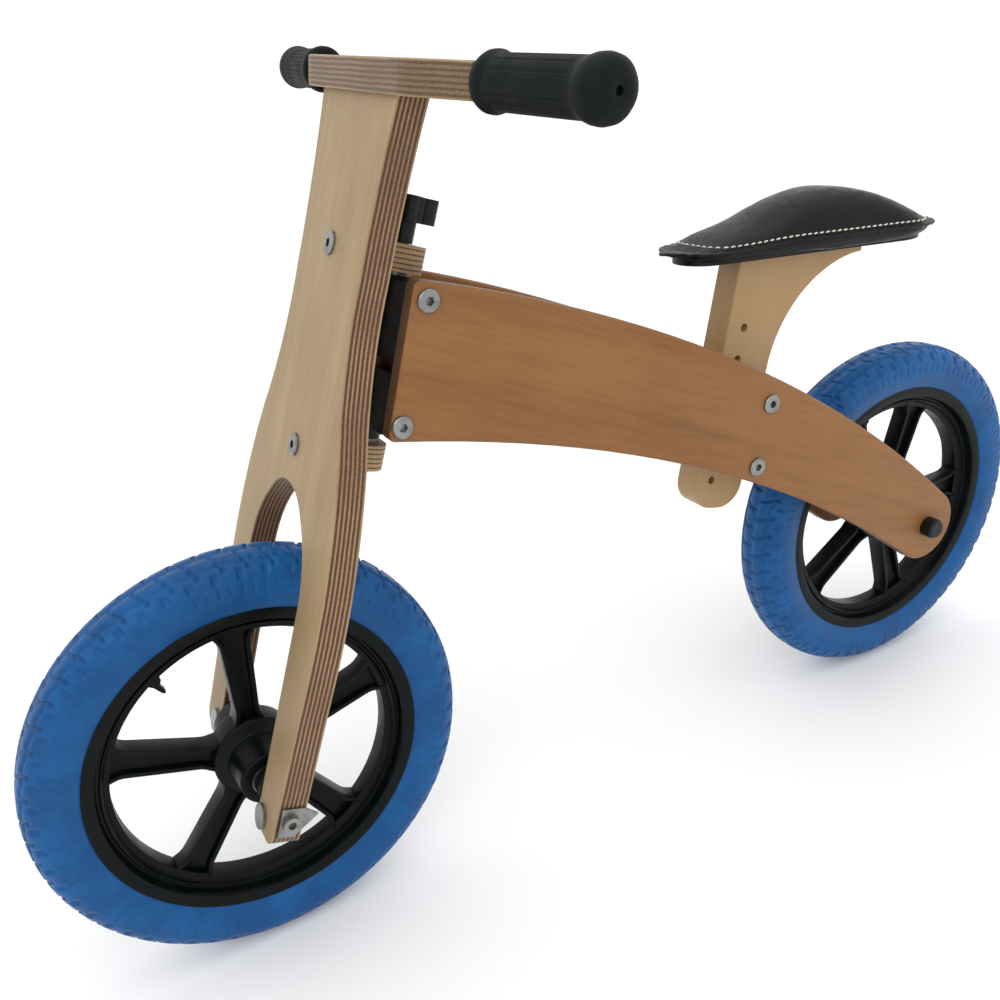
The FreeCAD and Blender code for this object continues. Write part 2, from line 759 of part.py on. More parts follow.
def side_plate(side, sign):
    """One of the two long curved plates that join the steering head to the rear axle."""
    face = size("plate_outer") if sign > 0 else -place_of("plate_inner")
    body = new_body("side_plate_" + side, Placement(Vector(0, face, 0), UPRIGHT))
    sketch = sketch_on(body, "XZ_Plane")
    draw_loop(sketch, [("plate_high", "arc", "Dims.plate_top_bow", 1),
                       ("tail_high", "arc", "Dims.plate_tail_radius", 1),
                       ("tail_low", "arc", "Dims.plate_low_bow", -1),
                       ("plate_low", "line")])
    seat_hole = "Dims.screw_radius" if sign > 0 else "Dims.sleeve_radius"
    draw_hole(sketch, "screw_high", "Dims.screw_radius")
    draw_hole(sketch, "screw_low", "Dims.screw_radius")
    draw_hole(sketch, "seat_bolt_high", seat_hole)
    draw_hole(sketch, "seat_bolt_low", seat_hole)
    draw_hole(sketch, "tail_centre", "Dims.axle_radius")
    pad(body, sketch, "Dims.plate_thick")
    front = place_of("plate_high_u")
    round_edges(body, "Dims.plate_corner",
                lambda edge: abs(edge.BoundBox.YLength - size("plate_thick")) < 0.01
                and edge.BoundBox.XMin > front - 1 and edge.BoundBox.XLength < 0.01)
    round_edges(body, "Dims.plate_round",
                lambda edge: not is_circle(edge)
                and (is_flat_at(edge, "y", 0) or is_flat_at(edge, "y", -size("plate_thick"))))
    return body


def head_housing(label, low, high, wing_low, wing_high, screw_at):
    """A bearing housing between the plates: a barrel with a wing to each plate."""
    back = -size("steer_setback")
    inner = place_of("plate_inner")
    base = at(FORK, back, 0, place_of(low))
    height = "Layout.%s - Layout.%s" % (high, low)
    barrel = cylinder(base, "Dims.housing_radius", height)
    wing = solid("Box", at(FORK, back + size("housing_wing_front") - size("housing_wing_thick"),
                           -inner, measure(wing_low)),
                 Length="Dims.housing_wing_thick", Width="2 * Layout.plate_inner",
                 Height="%s - %s" % (wing_high, wing_low))
    bore = cylinder(base, "Dims.pin_radius + Dims.running_clearance", height)
    pockets = [cylinder(at(FORK, back, sign * inner, screw_at,
                           AGAINST_Y if sign > 0 else ALONG_Y),
                        "Dims.insert_radius", "Dims.insert_length") for _, sign in SIDES]
    return cut(label, fuse(label + "_blank", barrel, wing), bore, *pockets)


def head_screws():
    """The four flat screws that hold the plates to the housings."""
    screws = []
    for _, sign in SIDES:
        for along in (size("upper_screw_at"), size("lower_screw_at")):
            place = at(FORK, -size("steer_setback"), sign * size("plate_outer"), along,
                       ALONG_Y if sign > 0 else AGAINST_Y)
            screws.append(flat_screw(place, "Dims.head_screw_length"))
    return group("head_screws", screws)


def head_inserts():
    """Threaded inserts in the housings for those screws."""
    inserts = []
    for _, sign in SIDES:
        for along in (size("upper_screw_at"), size("lower_screw_at")):
            place = at(FORK, -size("steer_setback"), sign * place_of("plate_inner"), along,
                       AGAINST_Y if sign > 0 else ALONG_Y)
            inserts.append(ring("insert", place, "Dims.insert_radius", "Dims.screw_radius",
                                "Dims.insert_length"))
    return group("head_inserts", inserts)


def head_ring():
    """The spacer ring between the two housings, round the steering pin."""
    return ring("head_spacer_ring",
                at(FORK, -size("steer_setback"), 0, place_of("ring_low")),
                "Dims.head_ring_radius", "Dims.pin_radius + Dims.running_clearance",
                "Dims.head_ring_height")


def seat_post():
    """The upright board that carries the saddle on an arm swept back at its top."""
    body = new_body("seat_post_board", POST)
    sketch = sketch_on(body, "XZ_Plane")
    draw_loop(sketch, [("arm_front", "line"),
                       ("arm_back", "line"),
                       ("arm_tip", "arc", "Dims.post_flare_bow", -1),
                       ("post_flare", "line"),
                       ("post_back_foot", "line"),
                       ("post_front_foot", "line")])
    pad(body, sketch, "Dims.post_thick", symmetric=True)
    foot = -size("post_drop")
    round_edges(body, "Dims.post_foot_round",
                lambda edge: is_flat_at(edge, "z", foot) and edge.BoundBox.XLength < 0.01)
    half = size("post_thick") / 2
    round_edges(body, "Dims.edge_round",
                lambda edge: (is_flat_at(edge, "y", half) or is_flat_at(edge, "y", -half))
                and edge.BoundBox.ZMin < place_of("arm_tip_v") - 1)
    holes = [cylinder(at(POST, 0, half, size("post_top_hole") - index * size("post_pitch"),
                         AGAINST_Y), "Dims.post_hole_radius", "Dims.post_thick")
             for index in range(int(size("post_holes")))]
    screws = [cylinder(at(SADDLE, along, 0, size("saddle_board_thick"),
                          Rotation(Vector(1, 0, 0), 180)),
                       "Dims.wood_screw_radius", "Dims.wood_screw_length")
              for along in saddle_screw_places()]
    return cut("seat_post", body, *(holes + screws))


def clamp_block(side, sign):
    """A wooden block that fills the space between a plate and the seat post."""
    inner = place_of("plate_inner")
    start = size("post_thick") / 2 if sign > 0 else -inner
    margin = size("clamp_margin")
    low = size("post_pitch") * -2
    block = solid("Box", at(POST, -margin, start, low - margin),
                  Length="2 * Dims.clamp_margin",
                  Width="Layout.plate_inner - Dims.post_thick / 2",
                  Height="2 * Dims.post_pitch + 2 * Dims.clamp_margin")
    holes = [cylinder(at(POST, 0, start, along, ALONG_Y), "Dims.screw_radius",
                      "Layout.plate_inner - Dims.post_thick / 2") for along in (0, low)]
    return cut("seat_clamp_block_" + side, block, *holes)


def seat_bolt_places(y, turn):
    """The seats of the two seat bolts on the face at this y."""
    return [at(POST, 0, y, along, turn) for along in (0, -2 * size("post_pitch"))]


def seat_bolts():
    """The two long bolts that clamp the post, put in from the left."""
    return group("seat_bolts", [flat_screw(place, "Dims.seat_bolt_length")
                                for place in seat_bolt_places(size("plate_outer"), ALONG_Y)])


def seat_sleeve_nuts():
    """Their sleeve nuts, put in from the right."""
    nuts = []
    for place in seat_bolt_places(-size("plate_outer"), AGAINST_Y):
        head = cylinder(place, "Dims.screw_head_radius", "Dims.screw_head_height")
        down = at(place, 0, 0, 0, Rotation(Vector(1, 0, 0), 180))
        sleeve = cylinder(down, "Dims.sleeve_radius", "Dims.plate_thick")
        bore = cylinder(down, "Dims.screw_radius", "Dims.plate_thick")
        nuts.append(cut("sleeve_nut", fuse("sleeve_nut_blank", head, sleeve), bore,
                        socket_in(place)))
    return group("seat_sleeve_nuts", nuts)


def rear_axle():
    """The threaded rod through both plates and the rear hub."""
    end = size("rear_axle_end")
    return cylinder(Placement(Vector(-size("wheel_base") / 2, -end, size("wheel_radius")),
                              ALONG_Y), "Dims.axle_radius", "2 * Dims.rear_axle_end",
                    "rear_axle")


def axle_spacers(label, centre, end):
    """Sleeves that keep a hub centred: each runs from the bearing to the face at `end`."""
    start = size("hub_half_length") + size("seat_clearance")

    def spacer(side, sign):
        turn = ALONG_Y if sign > 0 else AGAINST_Y
        return ring(label + "_" + side, at(centre, 0, sign * start, 0, turn),
                    "Dims.spacer_radius", "Dims.axle_radius",
                    "%s - Dims.hub_half_length - Dims.seat_clearance" % end)

    return both_sides(label, spacer)


def rear_axle_nuts(centre):
    """Hexagon nuts on the rear axle, outside the plates."""

    def nut(side, sign):
        place = at(centre, 0, sign * size("plate_outer"), 0, ALONG_Y if sign > 0 else AGAINST_Y)
        blank = solid("Prism", place, Circumradius="Dims.rear_nut_radius",
                      Height="Dims.rear_nut_height")
        blank.Polygon = 6
        return cut("rear_axle_nut_" + side, blank,
                   cylinder(place, "Dims.axle_radius", "Dims.rear_nut_height"))

    return both_sides("rear_axle_nuts", nut)


def rear_axle_caps(centre):
    """Round push-on caps over those nuts."""
    inner = "Dims.cap_radius - Dims.cap_wall"
    floor = "Dims.cap_height - Dims.cap_wall"

    def cap(side, sign):
        turn = UPRIGHT if sign > 0 else Rotation(Vector(1, 0, 0), 180)
        return turned("rear_axle_cap_" + side, at(centre, 0, sign * size("plate_outer"), 0, turn),
                      [(inner, "0"), ("Dims.cap_radius", "0"),
                       ("Dims.cap_radius", "Dims.cap_height - Dims.cap_bevel"),
                       ("Dims.cap_radius - Dims.cap_bevel", "Dims.cap_height"),
                       ("0", "Dims.cap_height"), ("0", floor), (inner, floor)])

    return both_sides("rear_axle_caps", cap)


# ---------------------------------------------------------------------------- saddle

def saddle_screw_places():
    """Where the wood screws of the saddle board stand, along the saddle."""
    return (size("wood_screw_front"), size("wood_screw_back"))


def saddle_board():
    """The thin board under the cushion, screwed down on the arm of the seat post."""
    body = new_body("saddle_board_blank", SADDLE)
    sketch = sketch_on(body, "XY_Plane")
    draw_loop(sketch, [("board_nose_right", "arc", "Layout.board_nose", 1),
                       ("board_nose_left", "line"),
                       ("board_tail_left", "arc", "Layout.board_tail", 1),
                       ("board_tail_end", "arc", "Layout.board_tail", 1),
                       ("board_tail_right", "line")])
    pad(body, sketch, "Dims.saddle_board_thick")
    holes = []
    for along in saddle_screw_places():
        place = at(SADDLE, along, 0, size("saddle_board_thick"),
                   Rotation(Vector(1, 0, 0), 180))
        holes.append(cylinder(place, "Dims.wood_screw_radius", "Dims.saddle_board_thick"))
        holes.append(cylinder(place, "Dims.wood_screw_head", "Dims.wood_screw_head_height"))
    return cut("saddle_board", body, *holes)


def saddle_screws():
    """The wood screws that hold the saddle board."""
    screws = [plain_screw(at(SADDLE, along, 0, size("saddle_board_thick")),
                          "Dims.wood_screw_radius", "Dims.wood_screw_head",
                          "Dims.wood_screw_head_height", "Dims.wood_screw_length")
              for along in saddle_screw_places()]
    return group("saddle_screws", screws)


def saddle_half_width(x):
    """Half the cushion's width: the outline round a nose circle and a tail circle."""
    nose = size("saddle_nose_radius")
    tail = size("saddle_tail_radius")
    nose_centre = place_of("nose_centre")
    tail_centre = place_of("tail_middle")
    lean = math.asin((tail - nose) / (nose_centre - tail_centre))
    nose_touch = nose_centre + nose * math.sin(lean)
    tail_touch = tail_centre + tail * math.sin(lean)
    if x > nose_touch:
        return math.sqrt(max(nose ** 2 - (x - nose_centre) ** 2, 0))
    if x < tail_touch:
        return math.sqrt(max(tail ** 2 - (x - tail_centre) ** 2, 0))
    share = (x - tail_touch) / (nose_touch - tail_touch)
    return math.cos(lean) * (tail + share * (nose - tail))


def saddle_height(x):
    """The cushion's height: fuller towards the nose, falling away to the tail."""
    top = size("saddle_crown_x")
    ahead = x > top
    reach = size("saddle_nose_x") - top if ahead else size("saddle_tail_x") + top
    fall = max(1 - ((x - top) / reach) ** 2, 0) ** (0.6 if ahead else 1)
    edge = size("saddle_edge_height")
    return edge + (size("saddle_crown_height") - edge) * fall


def saddle_cushion():
    """The padded saddle, as a plain crowned solid lofted from nose to tail."""
    low = size("saddle_board_thick") + size("seat_clearance")
    sections = []
    count = 11
    for index in range(count):
        share = 0.5 - 0.5 * math.cos(math.pi * (index + 0.35) / (count - 0.3))
        x = share * (size("saddle_nose_x") + size("saddle_tail_x")) - size("saddle_tail_x")
        half = saddle_half_width(x)
        height = saddle_height(x)
        points = []
        for step in range(9):
            angle = math.pi * step / 8
            across = math.copysign(abs(math.cos(angle)) ** 0.8, math.cos(angle))
            points.append(Vector(x, half * across, low + height * math.sin(angle) ** 0.8))
        crown = Part.BSplineCurve()
        crown.interpolate(points)
        sections.append(Part.Wire([crown.toShape(), Part.makeLine(points[-1], points[0])]))
    cushion = doc.addObject("Part::Feature", "saddle_cushion")
    cushion.Shape = Part.makeLoft(sections, True, False)
    cushion.Placement = SADDLE
    return cushion


# ------------------------------------------------------------------------------ fork

def fork_screw_places():
    """The seats of the two flat screws on the front face of the fork plate."""
    return [at(FORK, size("fork_thick") / 2, 0, along, ALONG_X)
            for along in (size("upper_block_at"), size("lower_block_at"))]


def foot_bolt_places():
    """The seats of the two cross bolts on the front face of the fork's feet."""
    return [at(FORK, size("fork_thick") / 2, sign * size("foot_bolt_out"),
               -size("foot_bolt_drop"), ALONG_X) for _, sign in SIDES]


def bar_screw_places():
    """The seats of the handlebar screws on top of the board."""
    return [at(BAR, 0, sign * size("bar_screw_half"), size("bar_thick")) for _, sign in SIDES]


def backwards(place):
    """The same place, looking down its own z."""
    return at(place, 0, 0, 0, Rotation(Vector(1, 0, 0), 180))


def fork_plate():
    """The one-piece plywood fork: two legs, an arch over the tyre, a waist and a crown."""
    body = new_body("fork_plate_board", FORK)
    sketch = sketch_on(body, "YZ_Plane")
    draw_loop(sketch, [("toe_out_left", "line"),
                       ("leg_left", "arc", "Dims.shoulder_bow", 1),
                       ("shoulder_left", "arc", "Dims.waist_bow", -1),
                       ("waist_left", "arc", "Dims.crown_bow", -1),
                       ("crown_left", "line"),
                       ("crown_right", "arc", "Dims.crown_bow", -1),
                       ("waist_right", "arc", "Dims.waist_bow", -1),
                       ("shoulder_right", "arc", "Dims.shoulder_bow", 1),
                       ("leg_right", "line"),
                       ("toe_out_right", "line"),
                       ("toe_in_right", "line"),
                       ("spring_right", "arc", "Dims.arch_haunch_bow", -1),
                       ("haunch_right", "arc", "Dims.arch_top_bow", -1),
                       ("haunch_left", "arc", "Dims.arch_haunch_bow", -1),
                       ("spring_left", "line"),
                       ("toe_in_left", "line")])
    pad(body, sketch, "Dims.fork_thick", symmetric=True)
    foot = -size("fork_foot")
    round_edges(body, "Dims.foot_corner",
                lambda edge: is_flat_at(edge, "z", foot) and edge.BoundBox.YLength < 0.01)
    tools = [cylinder(backwards(place), "Dims.screw_radius", "Dims.fork_thick")
             for place in fork_screw_places()]
    tools += [cylinder(backwards(place), "Dims.foot_bolt_radius", "Dims.fork_thick")
              for place in foot_bolt_places()]
    tools += [cylinder(backwards(place), "Dims.bar_screw_radius", "Dims.bar_screw_length")
              for place in bar_screw_places()]
    tools.append(cylinder(at(FORK, 0, -size("leg_outer"), 0, ALONG_Y), "Dims.axle_radius",
                          "2 * Dims.leg_outer"))
    tools.append(solid("Box", at(BAR, -2 * size("fork_thick"), -2 * size("crown_half"), 0),
                       Length="4 * Dims.fork_thick", Width="4 * Dims.crown_half",
                       Height="4 * Dims.fork_thick"))
    return cut("fork_plate", body, *tools)


def head_block(label, middle):
    """A plywood block on the back of the fork that carries one end of the steering pin."""
    low = size(middle) - size("block_thick") / 2
    body = new_body(label + "_board", at(FORK, 0, 0, low))
    front = "-Dims.fork_thick / 2"
    back = front + " - Dims.block_reach"
    sketch = sketch_on(body, "XY_Plane")
    draw_polygon(sketch, [(front, "-Dims.block_half"), (front, "Dims.block_half"),
                          (back, "Dims.block_half"), (back, "-Dims.block_half")])
    pad(body, sketch, "Dims.block_thick")
    rear = -size("fork_thick") / 2 - size("block_reach")
    round_edges(body, "Dims.block_corner",
                lambda edge: is_flat_at(edge, "x", rear) and edge.BoundBox.YLength < 0.01)
    pin_hole = cylinder(at(FORK, -size("steer_setback"), 0, low), "Dims.pin_radius",
                        "Dims.block_thick")
    pocket_place = at(FORK, -size("fork_thick") / 2, 0, size(middle), AGAINST_X)
    return cut(label, body, pin_hole, cylinder(pocket_place, "Dims.insert_radius",
                                               "Dims.insert_length"))


def block_screws():
    """The flat screws through the fork plate into the blocks."""
    return group("head_block_screws", [flat_screw(place, "Dims.block_screw_length")
                                       for place in fork_screw_places()])


def block_inserts():
    """Threaded inserts in the blocks."""
    inserts = []
    for along in (size("upper_block_at"), size("lower_block_at")):
        place = at(FORK, -size("fork_thick") / 2, 0, along, AGAINST_X)
        inserts.append(ring("block_insert", place, "Dims.insert_radius", "Dims.screw_radius",
                            "Dims.insert_length"))
    return group("head_block_inserts", inserts)


def steering_pin():
    """The long bolt that the fork turns on, put in from below."""
    base = at(FORK, -size("steer_setback"), 0, place_of("pin_low"))
    head = solid("Prism", backwards(base), Circumradius="Dims.pin_head_radius",
                 Height="Dims.pin_head_height")
    head.Polygon = 6
    return fuse("steering_pin", cylinder(base, "Dims.pin_radius", "Layout.pin_length"), head)


def thrust_washers():
    """A washer against each block, facing the housings."""
    places = [at(FORK, -size("steer_setback"), 0, place_of("lower_block_high")),
              at(FORK, -size("steer_setback"), 0,
                 place_of("upper_block_low") - size("thrust_washer"))]
    return group("thrust_washers", [ring("thrust_washer", place, "Dims.housing_radius",
                                         "Dims.pin_radius", "Dims.thrust_washer")
                                    for place in places])


def steering_knob():
    """The lobed hand knob screwed on top of the steering pin."""
    base = at(FORK, -size("steer_setback"), 0, place_of("knob_low"))
    stem = cylinder(base, "Dims.knob_stem_radius", "Dims.knob_stem_height")
    top = at(base, 0, 0, size("knob_stem_height"))
    core = cylinder(top, "Dims.knob_core_radius", "Dims.knob_height")
    count = int(size("knob_lobes"))
    lobes = [cylinder(at(top, 0, 0, 0, Rotation(Vector(0, 0, 1), 360 * index / count))
                      * Placement(Vector(size("knob_lobe_circle"), 0, 0), UPRIGHT),
                      "Dims.knob_lobe_radius", "Dims.knob_height") for index in range(count)]
    bore = cylinder(base, "Dims.knob_insert_radius", "Dims.knob_insert_length")
    return cut("steering_knob", fuse("steering_knob_blank", stem, core, *lobes), bore)


def knob_insert():
    """The threaded insert moulded into the knob."""
    return ring("knob_insert", at(FORK, -size("steer_setback"), 0, place_of("knob_low")),
                "Dims.knob_insert_radius", "Dims.pin_radius + Dims.running_clearance",
                "Dims.knob_insert_length")


def spigot_place(sign):
    """Where the round end of the handlebar board starts, with its z along the grip."""
    middle = -(size("bar_neck_front") + size("bar_neck_back")) / 2
    y = sign * (size("bar_neck_half") - size("bar_spigot_root"))
    sweep = Rotation(Vector(0, 0, 1), sign * size("bar_sweep"))
    return at(BAR, middle, y, size("bar_thick") / 2, sweep * (ALONG_Y if sign > 0 else AGAINST_Y))


def handlebar_board():
    """The handlebar: a board with a deep middle and a round spigot for each grip."""
    body = new_body("handlebar_blank", BAR)
    sketch = sketch_on(body, "XY_Plane")
    draw_loop(sketch, [(name, "line") for name in
                       ("bar_flat_right", "bar_flat_left", "bar_neck_left", "bar_heel_left",
                        "bar_rear_left", "bar_rear_right", "bar_heel_right",
                        "bar_neck_right")])
    pad(body, sketch, "Dims.bar_thick")
    front = size("bar_front")
    thick = size("bar_thick")
    round_edges(body, "Dims.bar_bend",
                lambda edge: is_flat_at(edge, "x", front) and edge.BoundBox.YLength < 0.01)
    neck = size("bar_neck_half")
    round_edges(body, "Dims.edge_round",
                lambda edge: (is_flat_at(edge, "z", 0) or is_flat_at(edge, "z", thick))
                and abs(edge.BoundBox.Center.y) < neck - 1)
    spigots = [cylinder(spigot_place(sign), "Dims.bar_thick / 2",
                        "Dims.bar_spigot_root + Dims.grip_standoff + Dims.grip_length"
                        " - Dims.grip_end_cap - Dims.seat_clearance") for _, sign in SIDES]
    holes = [cylinder(backwards(place), "Dims.bar_screw_radius", "Dims.bar_thick")
             for place in bar_screw_places()]
    holes += [cylinder(backwards(place), "Dims.bar_screw_head", "Dims.wood_screw_head_height")
              for place in bar_screw_places()]
    return cut("handlebar_board", fuse("handlebar_joined", body, *spigots), *holes)


def bar_screws():
    """The screws that hold the handlebar board down on the fork's crown."""
    return group("handlebar_screws",
                 [plain_screw(place, "Dims.bar_screw_radius", "Dims.bar_screw_head",
                              "Dims.wood_screw_head_height", "Dims.bar_screw_length")
                  for place in bar_screw_places()])


def grip(side, sign):
    """A rubber grip: a collar at its inner end and a thick closed outer end."""
    start = at(spigot_place(sign), 0, 0, size("bar_spigot_root") + size("grip_standoff"),
               AGAINST_Y)
    end = "Dims.grip_length"
    shoulder = end + " - Dims.grip_end_width"
    bore = "Dims.bar_thick / 2"
    return turned("grip_" + side, start, [
        (bore, "0"), ("Dims.grip_collar_radius - 1", "0"), ("Dims.grip_collar_radius", "1"),
        ("Dims.grip_collar_radius", "Dims.grip_collar_width"),
        ("Dims.grip_radius", "Dims.grip_collar_width + 3"),
        ("Dims.grip_radius", shoulder + " - 3"), ("Dims.grip_end_radius", shoulder),
        ("Dims.grip_end_radius", end + " - 3"), ("Dims.grip_end_radius - 3", end),
        ("Dims.grip_end_hole", end), ("Dims.grip_end_hole", end + " - Dims.grip_end_cap"),
        (bore, end + " - Dims.grip_end_cap")])


def front_axle():
    """The front axle, tapped at both ends for its screws."""
    face = place_of("foot_face") - size("tab_height") * place_of("foot_slope")
    ends = [cylinder(at(FORK, 0, sign * face, 0, AGAINST_Y if sign > 0 else ALONG_Y),
                     "Dims.screw_radius", "Dims.axle_screw_length") for _, sign in SIDES]
    rod = cylinder(at(FORK, 0, -face, 0, ALONG_Y), "Dims.axle_radius",
                   "2 * (Layout.foot_face - Dims.tab_height * Layout.foot_slope)")
    return cut("front_axle", rod, *ends)


def axle_tab(side, sign):
    """A pointed retention tab under the head of an axle screw."""
    face = place_of("foot_face")
    y = face + size("tab_thick") if sign > 0 else -face
    body = new_body("axle_tab_blank_" + side, at(FORK, 0, y, 0))
    sketch = sketch_on(body, "XZ_Plane")
    half = "Dims.tab_height / 2"
    draw_polygon(sketch, [("Dims.tab_front", "-" + half), ("-Dims.tab_front / 2", "-" + half),
                          ("-Dims.tab_point", half + " / 2"), ("-Dims.tab_front", half),
                          ("Dims.tab_front", half)])
    pad(body, sketch, "Dims.tab_thick")
    hole = cylinder(at(FORK, 0, sign * face, 0, ALONG_Y if sign > 0 else AGAINST_Y),
                    "Dims.screw_radius", "Dims.tab_thick")
    return cut("axle_tab_" + side, body, hole)


def axle_screws():
    """The socket screws in the ends of the front axle."""

    def screw(side, sign):
        face = place_of("foot_face") + size("tab_thick")
        place = at(FORK, 0, sign * face, 0, ALONG_Y if sign > 0 else AGAINST_Y)
        head = cylinder(place, "Dims.axle_screw_radius", "Dims.axle_screw_height")
        shank = cylinder(backwards(place), "Dims.screw_radius", "Dims.axle_screw_length")
        return cut("axle_screw_" + side, fuse("axle_screw_blank", head, shank),
                   socket_in(at(place, 0, 0, size("axle_screw_height")
                                - size("screw_head_height"))))

    return both_sides("front_axle_screws", screw)


def foot_bolts():
    """Round-headed bolts that clamp the plies of the fork's feet."""
    bolts = []
    for place in foot_bolt_places():
        head = cylinder(place, "Dims.foot_bolt_head", "Dims.foot_bolt_head_height")
        shank = cylinder(backwards(place), "Dims.foot_bolt_radius",
                         "Dims.fork_thick + Dims.foot_nut_height")
        bolts.append(fuse("foot_bolt", head, shank))
    return group("foot_bolts", bolts)


def foot_nuts():
    """The hexagon nuts of those bolts, behind the feet."""
    nuts = []
    for place in foot_bolt_places():
        seat = at(place, 0, 0, -size("fork_thick") - size("foot_nut_height"))
        blank = solid("Prism", seat, Circumradius="Dims.foot_nut_radius",
                      Height="Dims.foot_nut_height")
        blank.Polygon = 6
        nuts.append(cut("foot_nut", blank, cylinder(seat, "Dims.foot_bolt_radius",
                                                    "Dims.foot_nut_height")))
    return group("foot_nuts", nuts)


# -------------------------------------------------------------------------- assembly

FRONT_CENTRE = Placement(Vector(size("wheel_base") / 2, 0, size("wheel_radius")), UPRIGHT)
REAR_CENTRE = Placement(Vector(-size("wheel_base") / 2, 0, size("wheel_radius")), UPRIGHT)


def build():
    """Build every sub-part: the node's name is the object's label."""
    nodes = [side_plate(side, sign) for side, sign in SIDES]
    nodes.append(head_housing("head_housing_upper", "ring_high", "housing_high",
                              "Layout.ring_high", "Dims.housing_wing_high",
                              size("upper_screw_at")))
    nodes.append(head_housing("head_housing_lower", "housing_low", "ring_low",
                              "Dims.housing_wing_low", "Layout.ring_low",
                              size("lower_screw_at")))
    nodes += [head_ring(), head_screws(), head_inserts()]
    nodes += [seat_post(), seat_bolts(), seat_sleeve_nuts()]
    nodes += [clamp_block(side, sign) for side, sign in SIDES]
    nodes += [saddle_board(), saddle_screws(), saddle_cushion()]
    nodes += [rear_axle(), rear_axle_nuts(REAR_CENTRE), rear_axle_caps(REAR_CENTRE)]
    nodes.append(axle_spacers("rear_axle_spacers", REAR_CENTRE, "Layout.plate_inner"))
    nodes += [fork_plate(), block_screws(), block_inserts(), steering_pin(), thrust_washers()]
    nodes.append(head_block("upper_head_block", "upper_block_at"))
    nodes.append(head_block("lower_head_block", "lower_block_at"))
    nodes += [steering_knob(), knob_insert(), handlebar_board(), bar_screws()]
    nodes += [grip(side, sign) for side, sign in SIDES]
    nodes += [front_axle(), axle_screws(), both_sides("axle_tabs", axle_tab)]
    nodes.append(axle_spacers("front_axle_spacers", FRONT_CENTRE, "Dims.foot_inner"))
    nodes += [foot_bolts(), foot_nuts()]
    nodes += wheel("front", FRONT_CENTRE, size("front_spoke_phase"))
    nodes += wheel("rear", REAR_CENTRE, size("rear_spoke_phase"))
    return nodes


def check(nodes):
    """Stop if any object failed or any sub-part has no sound shape."""
    for thing in doc.Objects:
        if "Invalid" in thing.State or "Error" in thing.State:
            raise RuntimeError("%s failed: %s" % (thing.Label, thing.State))
    for node in nodes:
        if node.Shape.isNull() or not node.Shape.isValid():
            raise RuntimeError("%s has no sound shape" % node.Label)


def export(nodes):
    """Write each sub-part to parts/NODE.step."""
    os.makedirs("parts", exist_ok=True)
    for node in nodes:
        node.Shape.exportStep("parts/%s.step" % node.Label)
        print("%-22s solids %2d  volume %9.0f" % (node.Label, len(node.Shape.Solids),
                                                  node.Shape.Volume))


parts = build()
doc.recompute()
check(parts)
export(parts)
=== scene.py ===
"""A child's wooden balance bike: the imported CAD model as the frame, with its looks.

Wood, steel and most plastic nodes keep their CAD shape and get a material. The tyres, rims,
grips and saddle cushion are modelled here. Lengths are in metres unless a comment says
otherwise, +X is forward, +Y the rider's left and +Z up.
"""
import json
import math

import bmesh
import bpy
from mathutils import Matrix, Vector
from mathutils.bvhtree import BVHTree


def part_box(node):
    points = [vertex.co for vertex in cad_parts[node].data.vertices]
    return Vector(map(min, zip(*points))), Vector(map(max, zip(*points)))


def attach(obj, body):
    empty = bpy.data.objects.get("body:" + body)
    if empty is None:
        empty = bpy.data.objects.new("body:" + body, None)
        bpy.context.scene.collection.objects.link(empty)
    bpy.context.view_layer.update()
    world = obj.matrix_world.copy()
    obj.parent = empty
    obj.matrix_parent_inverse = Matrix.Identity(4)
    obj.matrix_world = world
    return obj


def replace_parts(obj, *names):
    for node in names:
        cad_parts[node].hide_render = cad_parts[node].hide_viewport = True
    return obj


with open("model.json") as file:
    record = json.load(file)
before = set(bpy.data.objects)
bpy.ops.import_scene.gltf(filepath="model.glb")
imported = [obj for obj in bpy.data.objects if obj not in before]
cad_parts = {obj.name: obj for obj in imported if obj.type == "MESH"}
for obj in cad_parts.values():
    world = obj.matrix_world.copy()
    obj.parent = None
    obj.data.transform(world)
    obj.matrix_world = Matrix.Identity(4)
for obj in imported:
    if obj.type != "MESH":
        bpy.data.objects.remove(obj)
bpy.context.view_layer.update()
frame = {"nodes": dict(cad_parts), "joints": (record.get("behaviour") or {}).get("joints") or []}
nodes = frame["nodes"]
joints = {joint["name"]: joint for joint in frame["joints"]}

# ------------------------------------------------------------------------ directions

steer_axis = Vector(joints["steering"]["axis"])
STEER_TILT = math.atan2(-steer_axis.x, steer_axis.z)
BAR_TILT = math.radians(8)
BAR_ROLL = math.radians(4.3)
BAR_SWEEP = math.radians(6.3)
POST_TILT = math.radians(14.6)
SADDLE_TILT = math.radians(3.5)
PLATE_RISE = math.radians(24)
FRONT_HUB = Vector(joints["front_wheel_spin"]["pos_m"])
REAR_HUB = Vector(joints["rear_wheel_spin"]["pos_m"])


def leaned(tilt):
    """The matrix from the frame to one leaned back by a tilt about Y."""
    return Matrix.Rotation(tilt, 4, "Y")


def leaned_box(node, turn):
    """A node's lowest and highest corners in a turned frame."""
    points = [turn @ vertex.co for vertex in nodes[node].data.vertices]
    low = Vector([min(point[axis] for point in points) for axis in range(3)])
    high = Vector([max(point[axis] for point in points) for axis in range(3)])
    return low, high


# --------------------------------------------------------------------- node materials

